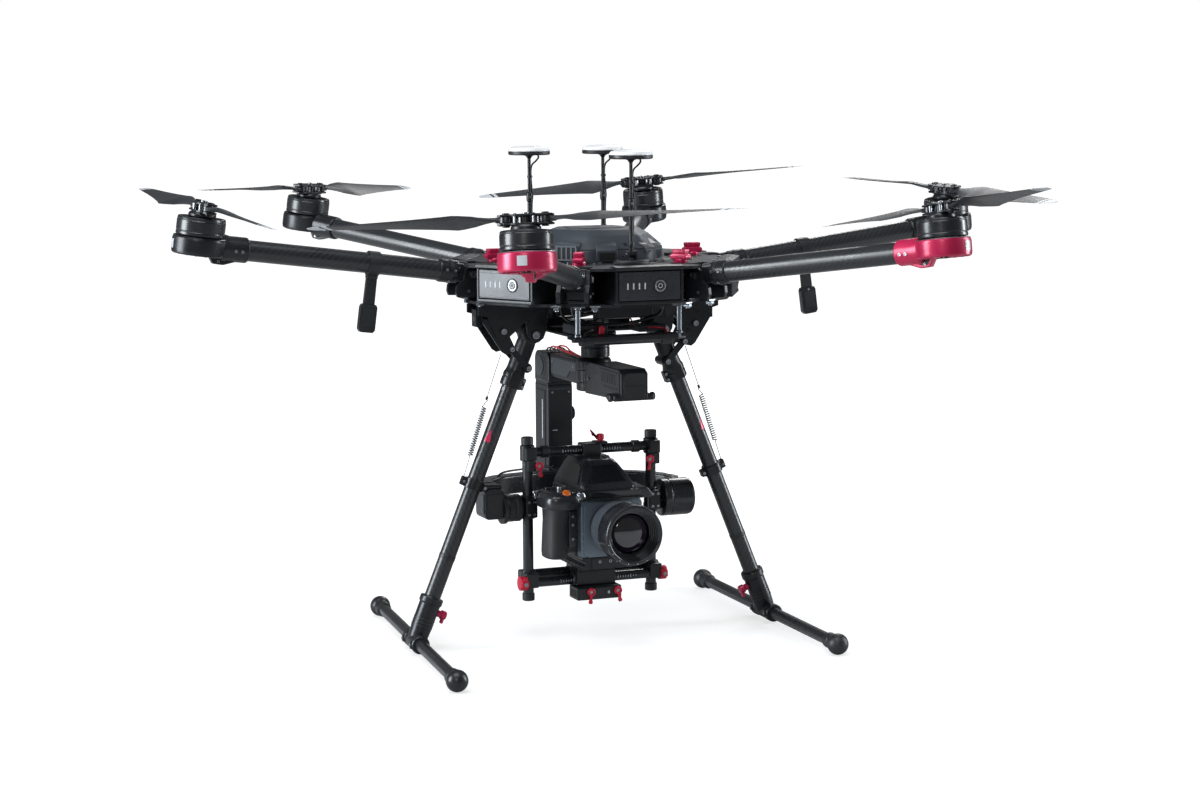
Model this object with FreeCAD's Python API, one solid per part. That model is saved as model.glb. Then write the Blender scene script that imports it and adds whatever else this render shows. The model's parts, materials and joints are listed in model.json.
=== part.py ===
import FreeCAD, Part
import math
import os

from FreeCAD import Vector as V

os.makedirs("parts", exist_ok=True)

# Hexacopter with folding arms, folding propellers, retracting legs and a hanging three-axis camera
# gimbal. Millimetres, +Z up, the aircraft faces -Y, and z = 0 is the upper face of the top plate.

# Airframe
ARMS = {"a": -30, "b": 30, "c": 90, "d": 150, "e": -150, "f": -90}  # heading, 0 = -Y, +90 = +X
BATTERY_HEADINGS = (0, 60, 120, 180, 240, 300)
HUB_APOTHEM = 197.0
CORNER_APOTHEM = 203.0
PLATE = 4.0
HUB_HEIGHT = 54.0
BATTERY = (89.0, 108.0, 39.0)  # width, depth, height
BATTERY_FACE_R = 199.0
BATTERY_Z = -25.0
BOLT_X, BOLT_Y, BOLT_D = 110.0, 64.0, 3.2  # accessory hole pattern, 220 x 128

# Arms and rotors
MOTOR_R = 566.5  # half the wheelbase of 1133
PIVOT_R, PIVOT_Z = 188.0, -14.9
DIHEDRAL = 7.4
CANT = 2.7
TUBE_D = 28.5
MOUNT_D, MOUNT_H = 72.0, 24.0
BELL_D, BELL_Z0, BELL_Z1 = 65.0, 14.0, 38.0
HUB_Z0, HUB_Z1 = 45.0, 58.0
PROP_D = 533.0
BLADE_PIVOT = 24.0
# Heading of each clamp, and how far its two blades have swung from it
PROP_HEADING = {"a": 58.1, "b": 4.0, "c": 5.0, "d": 77.8, "e": 126.3, "f": 6.0}
BLADE_SWING = {"a": (-2.6, 2.6), "b": (-4.6, 4.6), "c": (0, 0), "d": (0, 0), "e": (0, 0), "f": (0, 0)}
SPIN = {"a": 1, "b": -1, "c": 1, "d": -1, "e": 1, "f": -1}  # +1 = counter-clockwise from above

# Satellite receiver masts
MASTS = {"front": (0.0, -134.0), "rear_left": (-57.0, 109.0), "rear_right": (57.0, 109.0)}
PUCK_D, PUCK_Z = 60.0, 143.0
MAST_PIVOT_Z = 13.0

# Landing gear, left side (the right side is its mirror image but for the toe angle)
GEAR_Y = 4.0  # plane of both legs
LEG_PIVOT = (-98.0, -103.0)  # x, z
SKID_AT = (-271.0, -528.0)
SKID_TOE = {"left": -5.7, "right": -2.5}
SKID_LENGTH, SKID_D, BALL_D = 505.0, 17.0, 30.0
LEG_D, SLEEVE_D, COLLAR_D = 23.0, 27.0, 31.0
CRANK_PIN = (-145.5, -96.0)
KNEE = (-131.4, -122.0)
LINK_PIN = (-106.0, -150.5)

# Gimbal
TILT_Y, TILT_Z = 25.0, -353.0
CAGE_X = 95.0
LENS_Z = -374.0


# ---------------------------------------------------------------- shape helpers
def box(x0, x1, y0, y1, z0, z1):
    return Part.makeBox(x1 - x0, y1 - y0, z1 - z0, V(x0, y0, z0))


def cyl(r, a, b):
    """Round bar from point a to point b."""
    a, b = V(*a), V(*b)
    return Part.makeCylinder(r, (b - a).Length, a, b - a)


def cone(r0, r1, a, b):
    a, b = V(*a), V(*b)
    return Part.makeCone(r0, r1, (b - a).Length, a, b - a)


def ring(r_out, r_in, a, b):
    return cyl(r_out, a, b).cut(cyl(r_in, a, b))


def face(points):
    return Part.Face(Part.makePolygon([V(*p) for p in points + points[:1]]))


def plan(points, z0, z1):
    """Plate with an XY outline."""
    return face([(x, y, z0) for x, y in points]).extrude(V(0, 0, z1 - z0))


def side(points, y0, y1):
    """Plate with an XZ outline."""
    return face([(x, y0, z) for x, z in points]).extrude(V(0, y1 - y0, 0))


def profile(points, x0, x1):
    """Plate with a YZ outline."""
    return face([(x0, y, z) for y, z in points]).extrude(V(x1 - x0, 0, 0))


def join(shapes):
    out = shapes[0].multiFuse(shapes[1:]) if len(shapes) > 1 else shapes[0]
    return out.removeSplitter()


def rounded(shape, r, keep=lambda e: True):
    """Fillet the edges that keep() picks, or leave the shape as it is if the kernel can't."""
    edges = [e for e in shape.Edges if keep(e)]
    try:
        out = shape.makeFillet(r, edges)
        return out if out.isValid() and out.Volume > 0 else shape
    except Exception:
        return shape


def upright(e):
    a, b = e.Vertexes[0].Point, e.Vertexes[-1].Point
    return len(e.Vertexes) == 2 and abs(a.x - b.x) < 1e-6 and abs(a.y - b.y) < 1e-6


def turned(shape, axis, angle, at=(0, 0, 0)):
    out = shape.copy()
    out.rotate(V(*at), V(*axis), angle)
    return out


def moved(shape, v):
    out = shape.copy()
    out.translate(V(*v))
    return out


def mirror_x(shape):
    return shape.mirror(V(0, 0, 0), V(1, 0, 0))


def at_heading(shape, heading):
    """A shape drawn along +X, turned to a heading about the hub axis."""
    return turned(shape, (0, 0, 1), heading - 90)


def on_arm(shape, name):
    """A shape drawn in arm coordinates: x along the tube from the fold pin, z square to the tube."""
    s = turned(shape, (0, 1, 0), -DIHEDRAL)
    return at_heading(moved(s, (PIVOT_R, 0, PIVOT_Z)), ARMS[name])


def on_motor(shape, name):
    """A shape drawn in motor coordinates: origin on the tube axis, z up the motor axis."""
    reach = (MOTOR_R - PIVOT_R) / math.cos(math.radians(DIHEDRAL))
    s = turned(shape, (1, 0, 0), CANT * SPIN[name])
    return on_arm(moved(s, (reach, 0, 0)), name)


def lead(points, r, housings):
    """Fixed wire on straight runs and tangent arcs, trimmed where it enters its housings."""
    p = [V(*q) for q in points]
    edges, start = [], p[0]
    for a, b, c in zip(p, p[1:], p[2:]):
        u, w = (a - b).normalize(), (c - b).normalize()
        run = 0.45 * min((a - b).Length, (c - b).Length)
        half = u.getAngle(w) / 2
        inner = b + (u + w).normalize() * (run / math.cos(half) - run * math.tan(half))
        first, last = b + u * run, b + w * run
        edges += [Part.LineSegment(start, first).toShape(), Part.Arc(first, inner, last).toShape()]
        start = last
    edges.append(Part.LineSegment(start, p[-1]).toShape())
    circle = Part.Wire(Part.makeCircle(r, p[0], p[1] - p[0]))
    tube = Part.Wire(edges).makePipeShell([circle], True, False)
    return max(tube.cut(Part.makeCompound(housings)).Solids, key=lambda q: q.Volume)


def save(name, shapes):
    """Write one node. Several pieces in it stay separate solids."""
    solids = [s for shape in shapes for s in shape.Solids]
    out = solids[0] if len(solids) == 1 else Part.makeCompound(solids)
    out.exportStep("parts/" + name + ".step")


# ---------------------------------------------------------------- frame
def hub_outline(apothem, corner):
    """Hexagon with flats at the battery headings and its corners cut square to the arms."""
    c, s = math.cos(math.radians(30)), 0.5
    reach = (corner - apothem * c) / s
    points = []
    for heading in BATTERY_HEADINGS:
        for t in (-reach, reach):
            h = math.radians(heading)
            points.append((apothem * math.sin(h) + t * math.cos(h), -apothem * math.cos(h) + t * math.sin(h)))
    return points


def plate(z0, z1, notch, corner):
    p = plan(hub_outline(HUB_APOTHEM - (CORNER_APOTHEM - corner) / 3, corner), z0, z1)
    p = rounded(p, 5.0, upright)
    cuts = [at_heading(box(171, 230, -notch, notch, z0 - 1, z1 + 1), h) for h in ARMS.values()]
    for h in BATTERY_HEADINGS:
        cuts.append(at_heading(cyl(1.6, (118, 47, z0 - 1), (118, 47, z1 + 1)), h))
        cuts.append(at_heading(cyl(1.6, (118, -47, z0 - 1), (118, -47, z1 + 1)), h))
    return p, cuts


top, cuts = plate(-PLATE, 0.0, 22.6, CORNER_APOTHEM)
for x in (-BOLT_X, BOLT_X):
    for y in (-BOLT_Y, BOLT_Y):
        cuts.append(cyl(BOLT_D / 2, (x, y, -PLATE - 1), (x, y, 1)))
for h in ARMS.values():
    cuts.append(at_heading(cyl(3.0, (150, 0, -PLATE - 1), (150, 0, 1)), h))
cuts.append(cyl(34, (0, 0, -PLATE - 1), (0, 0, 1)))
save("top_plate", [top.cut(Part.makeCompound(cuts))])

bottom, cuts = plate(-HUB_HEIGHT, -HUB_HEIGHT + PLATE, 18.0, 183.0)
for h in ARMS.values():
    slot = plan([(52, -14), (100, -24), (100, 24), (52, 14)], -HUB_HEIGHT - 1, -HUB_HEIGHT + PLATE + 1)
    cuts.append(at_heading(slot, h))
save("bottom_plate", [bottom.cut(Part.makeCompound(cuts))])

# Battery bay: a hexagonal core with a wall out to each arm yoke
BAY_Z = (-HUB_HEIGHT + PLATE, -PLATE)
core = plan(hub_outline(88.0, 95.0), *BAY_Z).cut(plan(hub_outline(84.0, 91.0), *BAY_Z))
walls = [at_heading(box(93, 138, -2, 2, *BAY_Z), h) for h in ARMS.values()]
save("battery_bay", [join([core] + walls)])

# Batteries slide in from outside, each with a round button and four charge lights in its face
pieces = []
w, d, h0 = BATTERY
for heading in BATTERY_HEADINGS:
    b = box(BATTERY_FACE_R - d, BATTERY_FACE_R, -w / 2, w / 2, BATTERY_Z - h0 / 2, BATTERY_Z + h0 / 2)
    b = rounded(b, 2.0, lambda e: all(abs(v.X - BATTERY_FACE_R) < 1e-6 for v in e.Vertexes))
    cuts = [cyl(9.5, (BATTERY_FACE_R - 3, 15, BATTERY_Z), (BATTERY_FACE_R + 1, 15, BATTERY_Z))]
    for i in range(4):
        y = -7 - i * 8.4
        cuts.append(box(BATTERY_FACE_R - 1, BATTERY_FACE_R + 1, y - 0.9, y + 0.9, -29, -20.5))
    b = b.cut(Part.makeCompound(cuts))
    button = cyl(8.5, (BATTERY_FACE_R - 3, 15, BATTERY_Z), (BATTERY_FACE_R + 0.6, 15, BATTERY_Z))
    pieces += [at_heading(b, heading), at_heading(button, heading)]
save("batteries", pieces)

# Arm yokes with their fold pins
pieces = []
for h in ARMS.values():
    base = box(140, 168, -22, 22, -HUB_HEIGHT + PLATE, -PLATE)
    cheek = side([(160, -47), (212, -46), (214, -40), (213, -31), (203, -22), (200, -8), (192, -4), (160, -4)],
                 16, 22)
    cheek = join([cheek, cyl(12, (PIVOT_R, 16, PIVOT_Z), (PIVOT_R, 22, PIVOT_Z))])
    other = cheek.mirror(V(0, 0, 0), V(0, 1, 0))
    y = join([base, cheek, other])
    y = y.cut(cyl(4.0, (PIVOT_R, -30, PIVOT_Z), (PIVOT_R, 30, PIVOT_Z)))
    y = y.cut(cyl(2.9, (150, 0, -12), (150, 0, -3)))
    pin = join([
        cyl(4.0, (PIVOT_R, -22, PIVOT_Z), (PIVOT_R, 22, PIVOT_Z)),
        cyl(6.5, (PIVOT_R, 22, PIVOT_Z), (PIVOT_R, 24.5, PIVOT_Z)),
        cyl(6.5, (PIVOT_R, -24.5, PIVOT_Z), (PIVOT_R, -22, PIVOT_Z)),
    ])
    pieces += [at_heading(y, h), at_heading(pin, h)]
save("arm_yokes", pieces)

# Arm lock knobs: a stem into the yoke and a ribbed bar grip
pieces = []
for h in ARMS.values():
    grip = side([(136, 5), (164, 5), (161, 17), (139, 17)], -6.5, 6.5)
    grip = rounded(grip, 1.5)
    knob = join([grip, cyl(9.0, (150, 0, 0), (150, 0, 6)), cyl(2.8, (150, 0, -11), (150, 0, 1))])
    ribs = [box(139 + 3.6 * i, 140.2 + 3.6 * i, s * 7 - 1, s * 7 + 1, 7, 18) for i in range(7) for s in (-1, 1)]
    pieces.append(at_heading(knob.cut(Part.makeCompound(ribs)), h))
save("lock_knobs", pieces)

# Centre cover: faceted lid over the electronics, open below
def hex_wire(apothem, z, corner=None):
    pts = hub_outline(apothem, corner or apothem * 1.09)
    return Part.makePolygon([V(x, y, z) for x, y in pts + pts[:1]])


def lofted(levels):
    return Part.makeLoft([hex_wire(a, z) for a, z in levels], True, True)


outer = join([lofted([(92, 0), (91, 17)]), lofted([(91, 17), (70, 35)]), lofted([(70, 35), (57, 43)])])
inner = join([lofted([(89.5, -1), (88.5, 16)]), lofted([(88.5, 16), (68, 33)]), lofted([(68, 33), (56, 40.5)])])
cover = outer.cut(inner)
vent = at_heading(box(70, 97, -17, 17, 0, 25), -45)
vent = rounded(vent, 2.0, upright).cut(at_heading(box(60, 94, -14.5, 14.5, -1, 22), -45))
slots = [at_heading(box(89, 103, -12 + 6.4 * i, -8 + 6.4 * i, 5, 20), -45) for i in range(4)]
cover = join([cover.cut(vent.common(inner)), vent.cut(inner)]).cut(Part.makeCompound(slots))
save("centre_cover", [cover])

# ---------------------------------------------------------------- arms and rotors
REACH = (MOTOR_R - PIVOT_R) / math.cos(math.radians(DIHEDRAL))
for name in ARMS:
    knuckle = cyl(13.0, (0, -15.4, 0), (0, 15.4, 0))
    neck = rounded(box(2, 26, -13.4, 13.4, -12.6, 12.6), 4.0, lambda e: abs(e.Length - 24) < 1e-6)
    bar = cyl(TUBE_D / 2, (20, 0, 0), (REACH - 36, 0, 0))
    tube = join([knuckle, neck, bar]).cut(cyl(4.15, (0, -20, 0), (0, 20, 0)))
    bore = cyl(TUBE_D / 2 - 2, (30, 0, 0), (REACH - 30, 0, 0))
    save("arm_tube_" + name, [on_arm(tube.cut(bore), name)])

for name in ARMS:
    # Lower body: an outer ring, a floor with fins, a clamp neck on the tube and a lower lug
    level = turned(
        ring(MOUNT_D / 2, MOUNT_D / 2 - 3, (0, 0, -12), (0, 0, 12)), (1, 0, 0), CANT * SPIN[name])
    floor = turned(cyl(MOUNT_D / 2 - 2, (0, 0, -8), (0, 0, -5)), (1, 0, 0), CANT * SPIN[name])
    post = turned(cyl(15, (0, 0, -6), (0, 0, 9)), (1, 0, 0), CANT * SPIN[name])
    clamp = cyl(TUBE_D / 2 + 2.6, (-64, 0, 0), (-34.5, 0, 0))
    wedge = side([(-60, -15), (-34, -23), (-20, -22), (-12, -8), (-40, -8)], -5, 5)
    web = box(-40, -28, -13, 13, -11, 9)
    mount = join([level, floor, post, clamp, wedge, web])
    mount = mount.cut(cyl(TUBE_D / 2, (-70, 0, 0), (-24, 0, 0)))
    fins = []
    for i in range(12):
        fins.append(turned(box(18, 31, -1.6, 1.6, -10, -3), (0, 0, 1), 15 + 30 * i))
    mount = mount.cut(turned(Part.makeCompound(fins), (1, 0, 0), CANT * SPIN[name]))
    save("motor_mount_" + name, [on_arm(moved(mount, (REACH, 0, 0)), name)])


def blade_section(x, chord, offset, pitch, thick):
    """Closed airfoil wire at distance x from the pivot; offset is the chord centre's sideways place."""
    pts = []
    outline = ((-0.5, 0.0), (-0.42, 0.55), (-0.2, 1.0), (0.15, 0.85), (0.5, 0.12),
               (0.5, -0.12), (0.15, -0.35), (-0.2, -0.5), (-0.42, -0.4))
    c, s = math.cos(math.radians(pitch)), math.sin(math.radians(pitch))
    for u, w in outline:
        a, b = u * chord, w * thick * 0.66
        pts.append(V(x, offset + a * c + b * s, -a * s + b * c))
    pts.append(pts[0])
    return Part.makePolygon(pts)


BLADE = (
    # distance from pivot, chord, chord centre offset, pitch, thickness
    (9, 12, 0.0, 4, 6.0),
    (14, 14, 0.3, 4, 5.4),
    (26, 21, 1.6, 11, 5.0),
    (52, 41, 5.5, 17, 4.4),
    (80, 45, 6.5, 15, 3.6),
    (120, 38, 3.5, 12, 3.0),
    (170, 30, 0.5, 9, 2.3),
    (215, 23.5, -1.5, 7, 1.7),
    (236, 19, -2.5, 6, 1.4),
    (242.5, 9, -3.5, 6, 1.0),
)
blade = Part.makeLoft([blade_section(*row) for row in BLADE], True, True)
eye = cyl(8.5, (0, 0, -3.6), (0, 0, 3.6))
root = box(0, 12, -5.5, 5.5, -2.8, 2.8)
blade = join([blade, root, eye]).cut(cyl(2.7, (0, 0, -9), (0, 0, 9)))
MID = (HUB_Z0 + HUB_Z1) / 2

for name in ARMS:
    shell = ring(BELL_D / 2, BELL_D / 2 - 3.5, (0, 0, BELL_Z0), (0, 0, BELL_Z1 - 3))
    crown = ring(BELL_D / 2, 7, (0, 0, BELL_Z1 - 3), (0, 0, BELL_Z1))
    windows = [
        turned(plan([(14, -3.5), (27, -6.5), (27, 6.5), (14, 3.5)], BELL_Z1 - 4, BELL_Z1 + 1), (0, 0, 1), 45 * i)
        for i in range(8)
    ]
    shaft = cyl(8, (0, 0, 10.5), (0, 0, HUB_Z1))
    lower = plan([(-34, -7), (-27, -10), (27, -10), (34, -7), (34, 7), (27, 10), (-27, 10), (-34, 7)],
                 HUB_Z0, HUB_Z0 + 2.4)
    upper = moved(lower, (0, 0, HUB_Z1 - HUB_Z0 - 2.4))
    bell = join([shell, crown.cut(Part.makeCompound(windows)), shaft])
    clamp = join([lower, upper])
    bolts = []
    for x in (-BLADE_PIVOT, BLADE_PIVOT):
        bolts.append(cyl(2.4, (x, 0, HUB_Z0 - 1), (x, 0, HUB_Z1 + 1)))
        bolts.append(cyl(4.4, (x, 0, HUB_Z1), (x, 0, HUB_Z1 + 2.4)))
        bolts.append(cyl(4.4, (x, 0, HUB_Z0 - 2.2), (x, 0, HUB_Z0)))
    for x in (-12, 12):
        for y in (-7.5, 7.5):
            bolts.append(cyl(1.6, (x, y, HUB_Z0 + 1), (x, y, HUB_Z1 - 1)))
    local = PROP_HEADING[name] - ARMS[name]
    head = turned(join([clamp] + bolts), (0, 0, 1), local)
    save("rotor_" + name, [on_motor(join([bell, head]), name)])
    for i, flip in ((1, 0), (2, 180)):
        b = blade.mirror(V(0, 0, 0), V(0, 1, 0)) if SPIN[name] > 0 else blade
        b = turned(b, (0, 0, 1), BLADE_SWING[name][i - 1])
        b = turned(moved(b, (BLADE_PIVOT, 0, MID)), (0, 0, 1), local + flip)
        save("blade_%s%d" % (name, i), [on_motor(b, name)])

# Hanging aerials on the two side arms
for label, name in (("left", "f"), ("right", "c")):
    x = (326 - PIVOT_R) / math.cos(math.radians(DIHEDRAL))
    band = ring(TUBE_D / 2 + 2.5, TUBE_D / 2, (x - 8, 0, 0), (x + 8, 0, 0))
    strap = box(x - 8, x + 8, -3, 3, -66, -TUBE_D / 2 - 1)
    blade_box = rounded(box(x - 12, x + 12, -5, 5, -95, -58), 2.0)
    save("aerial_" + label, [on_arm(join([band, strap, blade_box]), name)])

# ---------------------------------------------------------------- satellite receiver masts
for label, (x, y) in MASTS.items():
    z = MAST_PIVOT_Z
    out = -1 if y < 0 else 1
    foot = join([
        box(x - 7.2, x + 7.2, y - 9, y + 9, 0, 3),
        box(x - 7.2, x - 4.6, y - 6, y + 6, 3, z + 5),
        box(x + 4.6, x + 7.2, y - 6, y + 6, 3, z + 5),
        cyl(1.8, (x - 9, y, z), (x + 9, y, z)),
    ])
    rod = join([
        cyl(4.3, (x - 4.2, y, z), (x + 4.2, y, z)),
        cyl(3.0, (x, y, z), (x, y, 80)),
        cyl(3.9, (x, y, 76), (x, y, 88)),
        cyl(2.4, (x, y, 80), (x, y, PUCK_Z)),
    ]).cut(cyl(2.0, (x - 9, y, z), (x + 9, y, z)))
    base = cyl(PUCK_D / 2, (x, y, PUCK_Z), (x, y, PUCK_Z + 6))
    dome = cone(PUCK_D / 2 - 0.5, PUCK_D / 2 - 6, (x, y, PUCK_Z + 6), (x, y, PUCK_Z + 13))
    dome = rounded(dome, 2.5, lambda e: e.Length > 100 and e.BoundBox.ZMin > PUCK_Z + 12)
    save("mast_" + label, [rod, join([base, dome])])
    if label == "front":
        feet = []
    feet.append(foot)
save("mast_feet", feet)

# ---------------------------------------------------------------- landing gear
PX, PZ = LEG_PIVOT
LEG_LEN = math.hypot(SKID_AT[0] - PX, SKID_AT[1] - PZ)
UX, UZ = (SKID_AT[0] - PX) / LEG_LEN, (SKID_AT[1] - PZ) / LEG_LEN


def along(s, y=0.0):
    """Point at distance s down the left leg."""
    return (PX + UX * s, y, PZ + UZ * s)


def both(label, shape):
    """A left-side shape drawn about y = 0, put in the legs' plane on its own side."""
    s = moved(shape, (0, GEAR_Y, 0))
    return s if label == "left" else mirror_x(s)


brackets, servos = [], []
for label in ("left", "right"):
    outline = [(-182, -58), (-78, -58), (-82, -98), (-86, -108), (-94, -114), (-104, -112), (-110, -102),
               (-112, -84), (-136, -104), (-146, -107), (-155, -103), (-168, -76), (-182, -72)]
    cheek = side(outline, 22, 25)
    pin = cyl(3.9, (PX, -27.5, PZ), (PX, 27.5, PZ))
    cheek = cheek.cut(cyl(3.2, (CRANK_PIN[0], 18, CRANK_PIN[1]), (CRANK_PIN[0], 40, CRANK_PIN[1]))).cut(pin)
    for piece in (cheek, moved(cheek, (0, -47, 0)), box(-182, -78, -25, 25, -58, -54), pin):
        brackets.append(both(label, piece))
    servo = join([box(-172, -116, -11, 11, -84, -58), box(-180, -172, -9, 9, -90, -66)])
    servo = rounded(servo, 1.5, lambda e: abs(e.Length - 56) < 1e-6)
    servos.append(both(label, servo))
    for x, r in ((-150, 1.1), (-144, 1.1)):
        wire = lead([(x, 9, -66), (x + 1, 14.4, -66), (x + 6, 15, -63), (x + 8, 15, -52)], r,
                    [servo, cheek, box(-200, 0, -60, 60, -58, -50)])
        servos.append(both(label, wire))

    # Leg: pivot eye, thick sleeve with a collar, link lug and the long tube
    sleeve = cyl(SLEEVE_D / 2, along(0), along(72))
    eye = cyl(14.0, (PX, -14.2, PZ), (PX, 14.2, PZ))
    collar = cyl(COLLAR_D / 2, along(62), along(80))
    collar = collar.common(box(PX - 100, PX + 100, -13.6, 13.6, PZ - 120, PZ))
    tube = cyl(LEG_D / 2, along(70), along(LEG_LEN - 14))
    lug = cyl(7.0, (LINK_PIN[0], -12.8, LINK_PIN[1]), (LINK_PIN[0], 12.8, LINK_PIN[1]))
    leg = join([sleeve, eye, collar, tube, lug])
    leg = leg.cut(cyl(4.1, (PX, -20, PZ), (PX, 20, PZ)))
    leg = leg.cut(cyl(3.1, (LINK_PIN[0], -30, LINK_PIN[1]), (LINK_PIN[0], 30, LINK_PIN[1])))
    leg = leg.cut(cyl(LEG_D / 2 - 2, along(90), along(LEG_LEN - 10)))
    # Return spring beside the leg, held by a strap at each end
    nx, nz = UZ, -UX
    if nx > 0:
        nx, nz = -nx, -nz

    def off(s, d):
        return (PX + UX * s + nx * d, 0, PZ + UZ * s + nz * d)

    spring = join([cyl(3.8, off(117, 25.3), off(190, 20.3)), cyl(1.5, off(104, 26), off(118, 25.2)),
                   cyl(1.5, off(188, 20.4), off(226, 17.5))])
    hook = join([ring(LEG_D / 2 + 3, LEG_D / 2, along(220), along(232)),
                 cyl(3.5, off(226, 12), off(226, 19))])
    hook = hook.cut(cyl(LEG_D / 2, along(215), along(240)))
    spring = spring.cut(hook)
    save(label + "_leg", [both(label, leg), both(label, spring), both(label, hook)])

    # Skid: tee clamp on the foot of the leg, long cross tube and a ball at each end
    toe = SKID_TOE[label]
    cx, cz = SKID_AT
    if label == "right":
        toe = -toe
    half = SKID_LENGTH / 2
    bar = cyl(SKID_D / 2, (cx, -half, cz), (cx, half, cz))
    balls = []
    for s in (-1, 1):
        b = Part.makeSphere(BALL_D / 2, V(cx, s * half, cz))
        balls.append(b)
        balls.append(cyl(11.0, (cx, s * (half - 26), cz), (cx, s * half, cz)))
    tee = cyl(13.0, (cx, -30, cz), (cx, 30, cz))
    rail = turned(join([bar] + balls), (0, 0, 1), toe, (cx, 0, cz))
    tee = turned(tee, (0, 0, 1), toe, (cx, 0, cz))
    socket = cyl(15.0, along(LEG_LEN - 62), along(LEG_LEN - 4))
    lip = cyl(16.5, along(LEG_LEN - 66), along(LEG_LEN - 56))
    boss = cyl(5.5, along(LEG_LEN - 50, 0), (along(LEG_LEN - 50)[0] + 22, 0, along(LEG_LEN - 50)[2] - 8))
    clamp = join([tee, socket, lip, boss]).cut(cyl(LEG_D / 2, along(LEG_LEN - 80), along(LEG_LEN - 14)))
    save(label + "_skid", [both(label, rail), both(label, clamp.cut(rail))])

    # Over-centre brace: a crank on the bracket and a pair of straps on the leg
    ax, az = CRANK_PIN
    pts = [(ax + 6, az + 2), (KNEE[0] + 4, KNEE[1] + 2), (KNEE[0], KNEE[1] - 5), (-141, -129), (-147, -125),
           (-174, -84), (-172, -78), (-164, -80)]
    cheek = join([side(pts, 18.2, 21.4), cyl(6.0, (ax, 18.2, az), (ax, 21.4, az)),
                  cyl(5.0, (KNEE[0], 17.8, KNEE[1]), (KNEE[0], 21.4, KNEE[1]))])
    shaft = cyl(3.0, (ax, -27.5, az), (ax, 27.5, az))
    cheek = cheek.cut(shaft)
    save(label + "_crank", [both(label, s) for s in (cheek, cheek.mirror(V(0, 0, 0), V(0, 1, 0)), shaft)])
    lx, lz = LINK_PIN
    dx, dz = lx - KNEE[0], lz - KNEE[1]
    n = math.hypot(dx, dz)
    ox, oz = -dz / n * 4.5, dx / n * 4.5
    strap = join([
        side([(KNEE[0] + ox, KNEE[1] + oz), (lx + ox, lz + oz), (lx - ox, lz - oz), (KNEE[0] - ox, KNEE[1] - oz)],
             14, 17.2),
        cyl(5.5, (KNEE[0], 14, KNEE[1]), (KNEE[0], 17.2, KNEE[1])),
        cyl(5.5, (lx, 14, lz), (lx, 17.2, lz)),
    ])
    link = join([strap, strap.mirror(V(0, 0, 0), V(0, 1, 0)), cyl(3.0, (lx, -18.8, lz), (lx, 18.8, lz))])
    save(label + "_link", [both(label, link)])
save("gear_brackets", brackets + servos)

# ---------------------------------------------------------------- gimbal deck and electronics
deck = [rounded(box(-84, 84, y, y + 26, -102, -98), 3.0, upright) for y in (-132, 106)]
deck += [box(x, x + 18, -106, 106, -102, -98) for x in (-72, 54)]
deck.append(box(-54, 54, -24, 24, -102, -98))
posts = []
for x in (-75.2, 75.2):
    for y in (-124.2, 124.2):
        posts.append(cyl(4.5, (x, y, -98), (x, y, -54)))

unit = rounded(box(-16, 48, -70, -36, -80, -58), 2.0, upright)
rack = rounded(box(-48, 48, 40, 92, -84, -58), 2.0, upright)
lid = rounded(box(-34, 34, -34, 30, -72, -56), 2.0, upright)
units = [join([unit, box(-10, 42, -68, -38, -58, -54)]), join([rack, box(-40, 40, 46, 86, -58, -54)]),
         join([lid, box(-20, 20, -20, 20, -56, -54)])]
# Looms that hang between the lower plate and the units, and leads along the deck
LOOMS = (
    ((-66, -78, -57), (-60, -80, -76), (-24, -84, -86), (22, -88, -84), (58, -92, -74), (64, -94, -57), 2.4),
    ((-62, -26, -57), (-60, -30, -78), (-46, -46, -88), (-24, -54, -84), (-10, -54, -76), 2.0),
    ((66, -26, -57), (62, -30, -78), (54, -44, -84), (44, -52, -76), 2.0),
    ((-66, 20, -57), (-62, 26, -80), (-52, 40, -88), (-42, 56, -78), 2.2),
    ((66, 20, -57), (62, 26, -80), (52, 40, -88), (42, 56, -78), 2.2),
    ((-66, 98, -57), (-56, 98, -82), (-20, 97, -92), (24, 97, -90), (58, 98, -80), (66, 98, -57), 2.2),
)
DECK_LEADS = (
    ((24, -66, -76), (28, -82, -90), (40, -98, -91), (58, -110, -92), (64, -112, -99), 1.1),
    ((-12, -62, -76), (-22, -80, -90), (-38, -98, -91), (-56, -110, -92), (-62, -112, -99), 1.3),
    ((-30, 88, -80), (-38, 104, -90), (-52, 112, -92), (-60, 114, -99), 1.5),
    ((30, 88, -80), (38, 104, -90), (52, 112, -92), (60, 114, -99), 1.5),
)
floor = units + deck + [box(-200, 200, -200, 200, -58, -54)]
leads = []
for *points, r in LOOMS + DECK_LEADS:
    leads.append(lead(points, r, floor + leads))
save("electronics", units + leads)

pan_base = join([cyl(20.5, (0, 0, -139), (0, 0, -112)), cyl(30, (0, 0, -112), (0, 0, -108))])
pads = [cyl(7, (x, y, -108), (x, y, -102)) for x, y in ((-18, -15), (18, -15), (-18, 15), (18, 15))]
save("gimbal_deck", deck + posts + pads + [pan_base])

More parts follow.
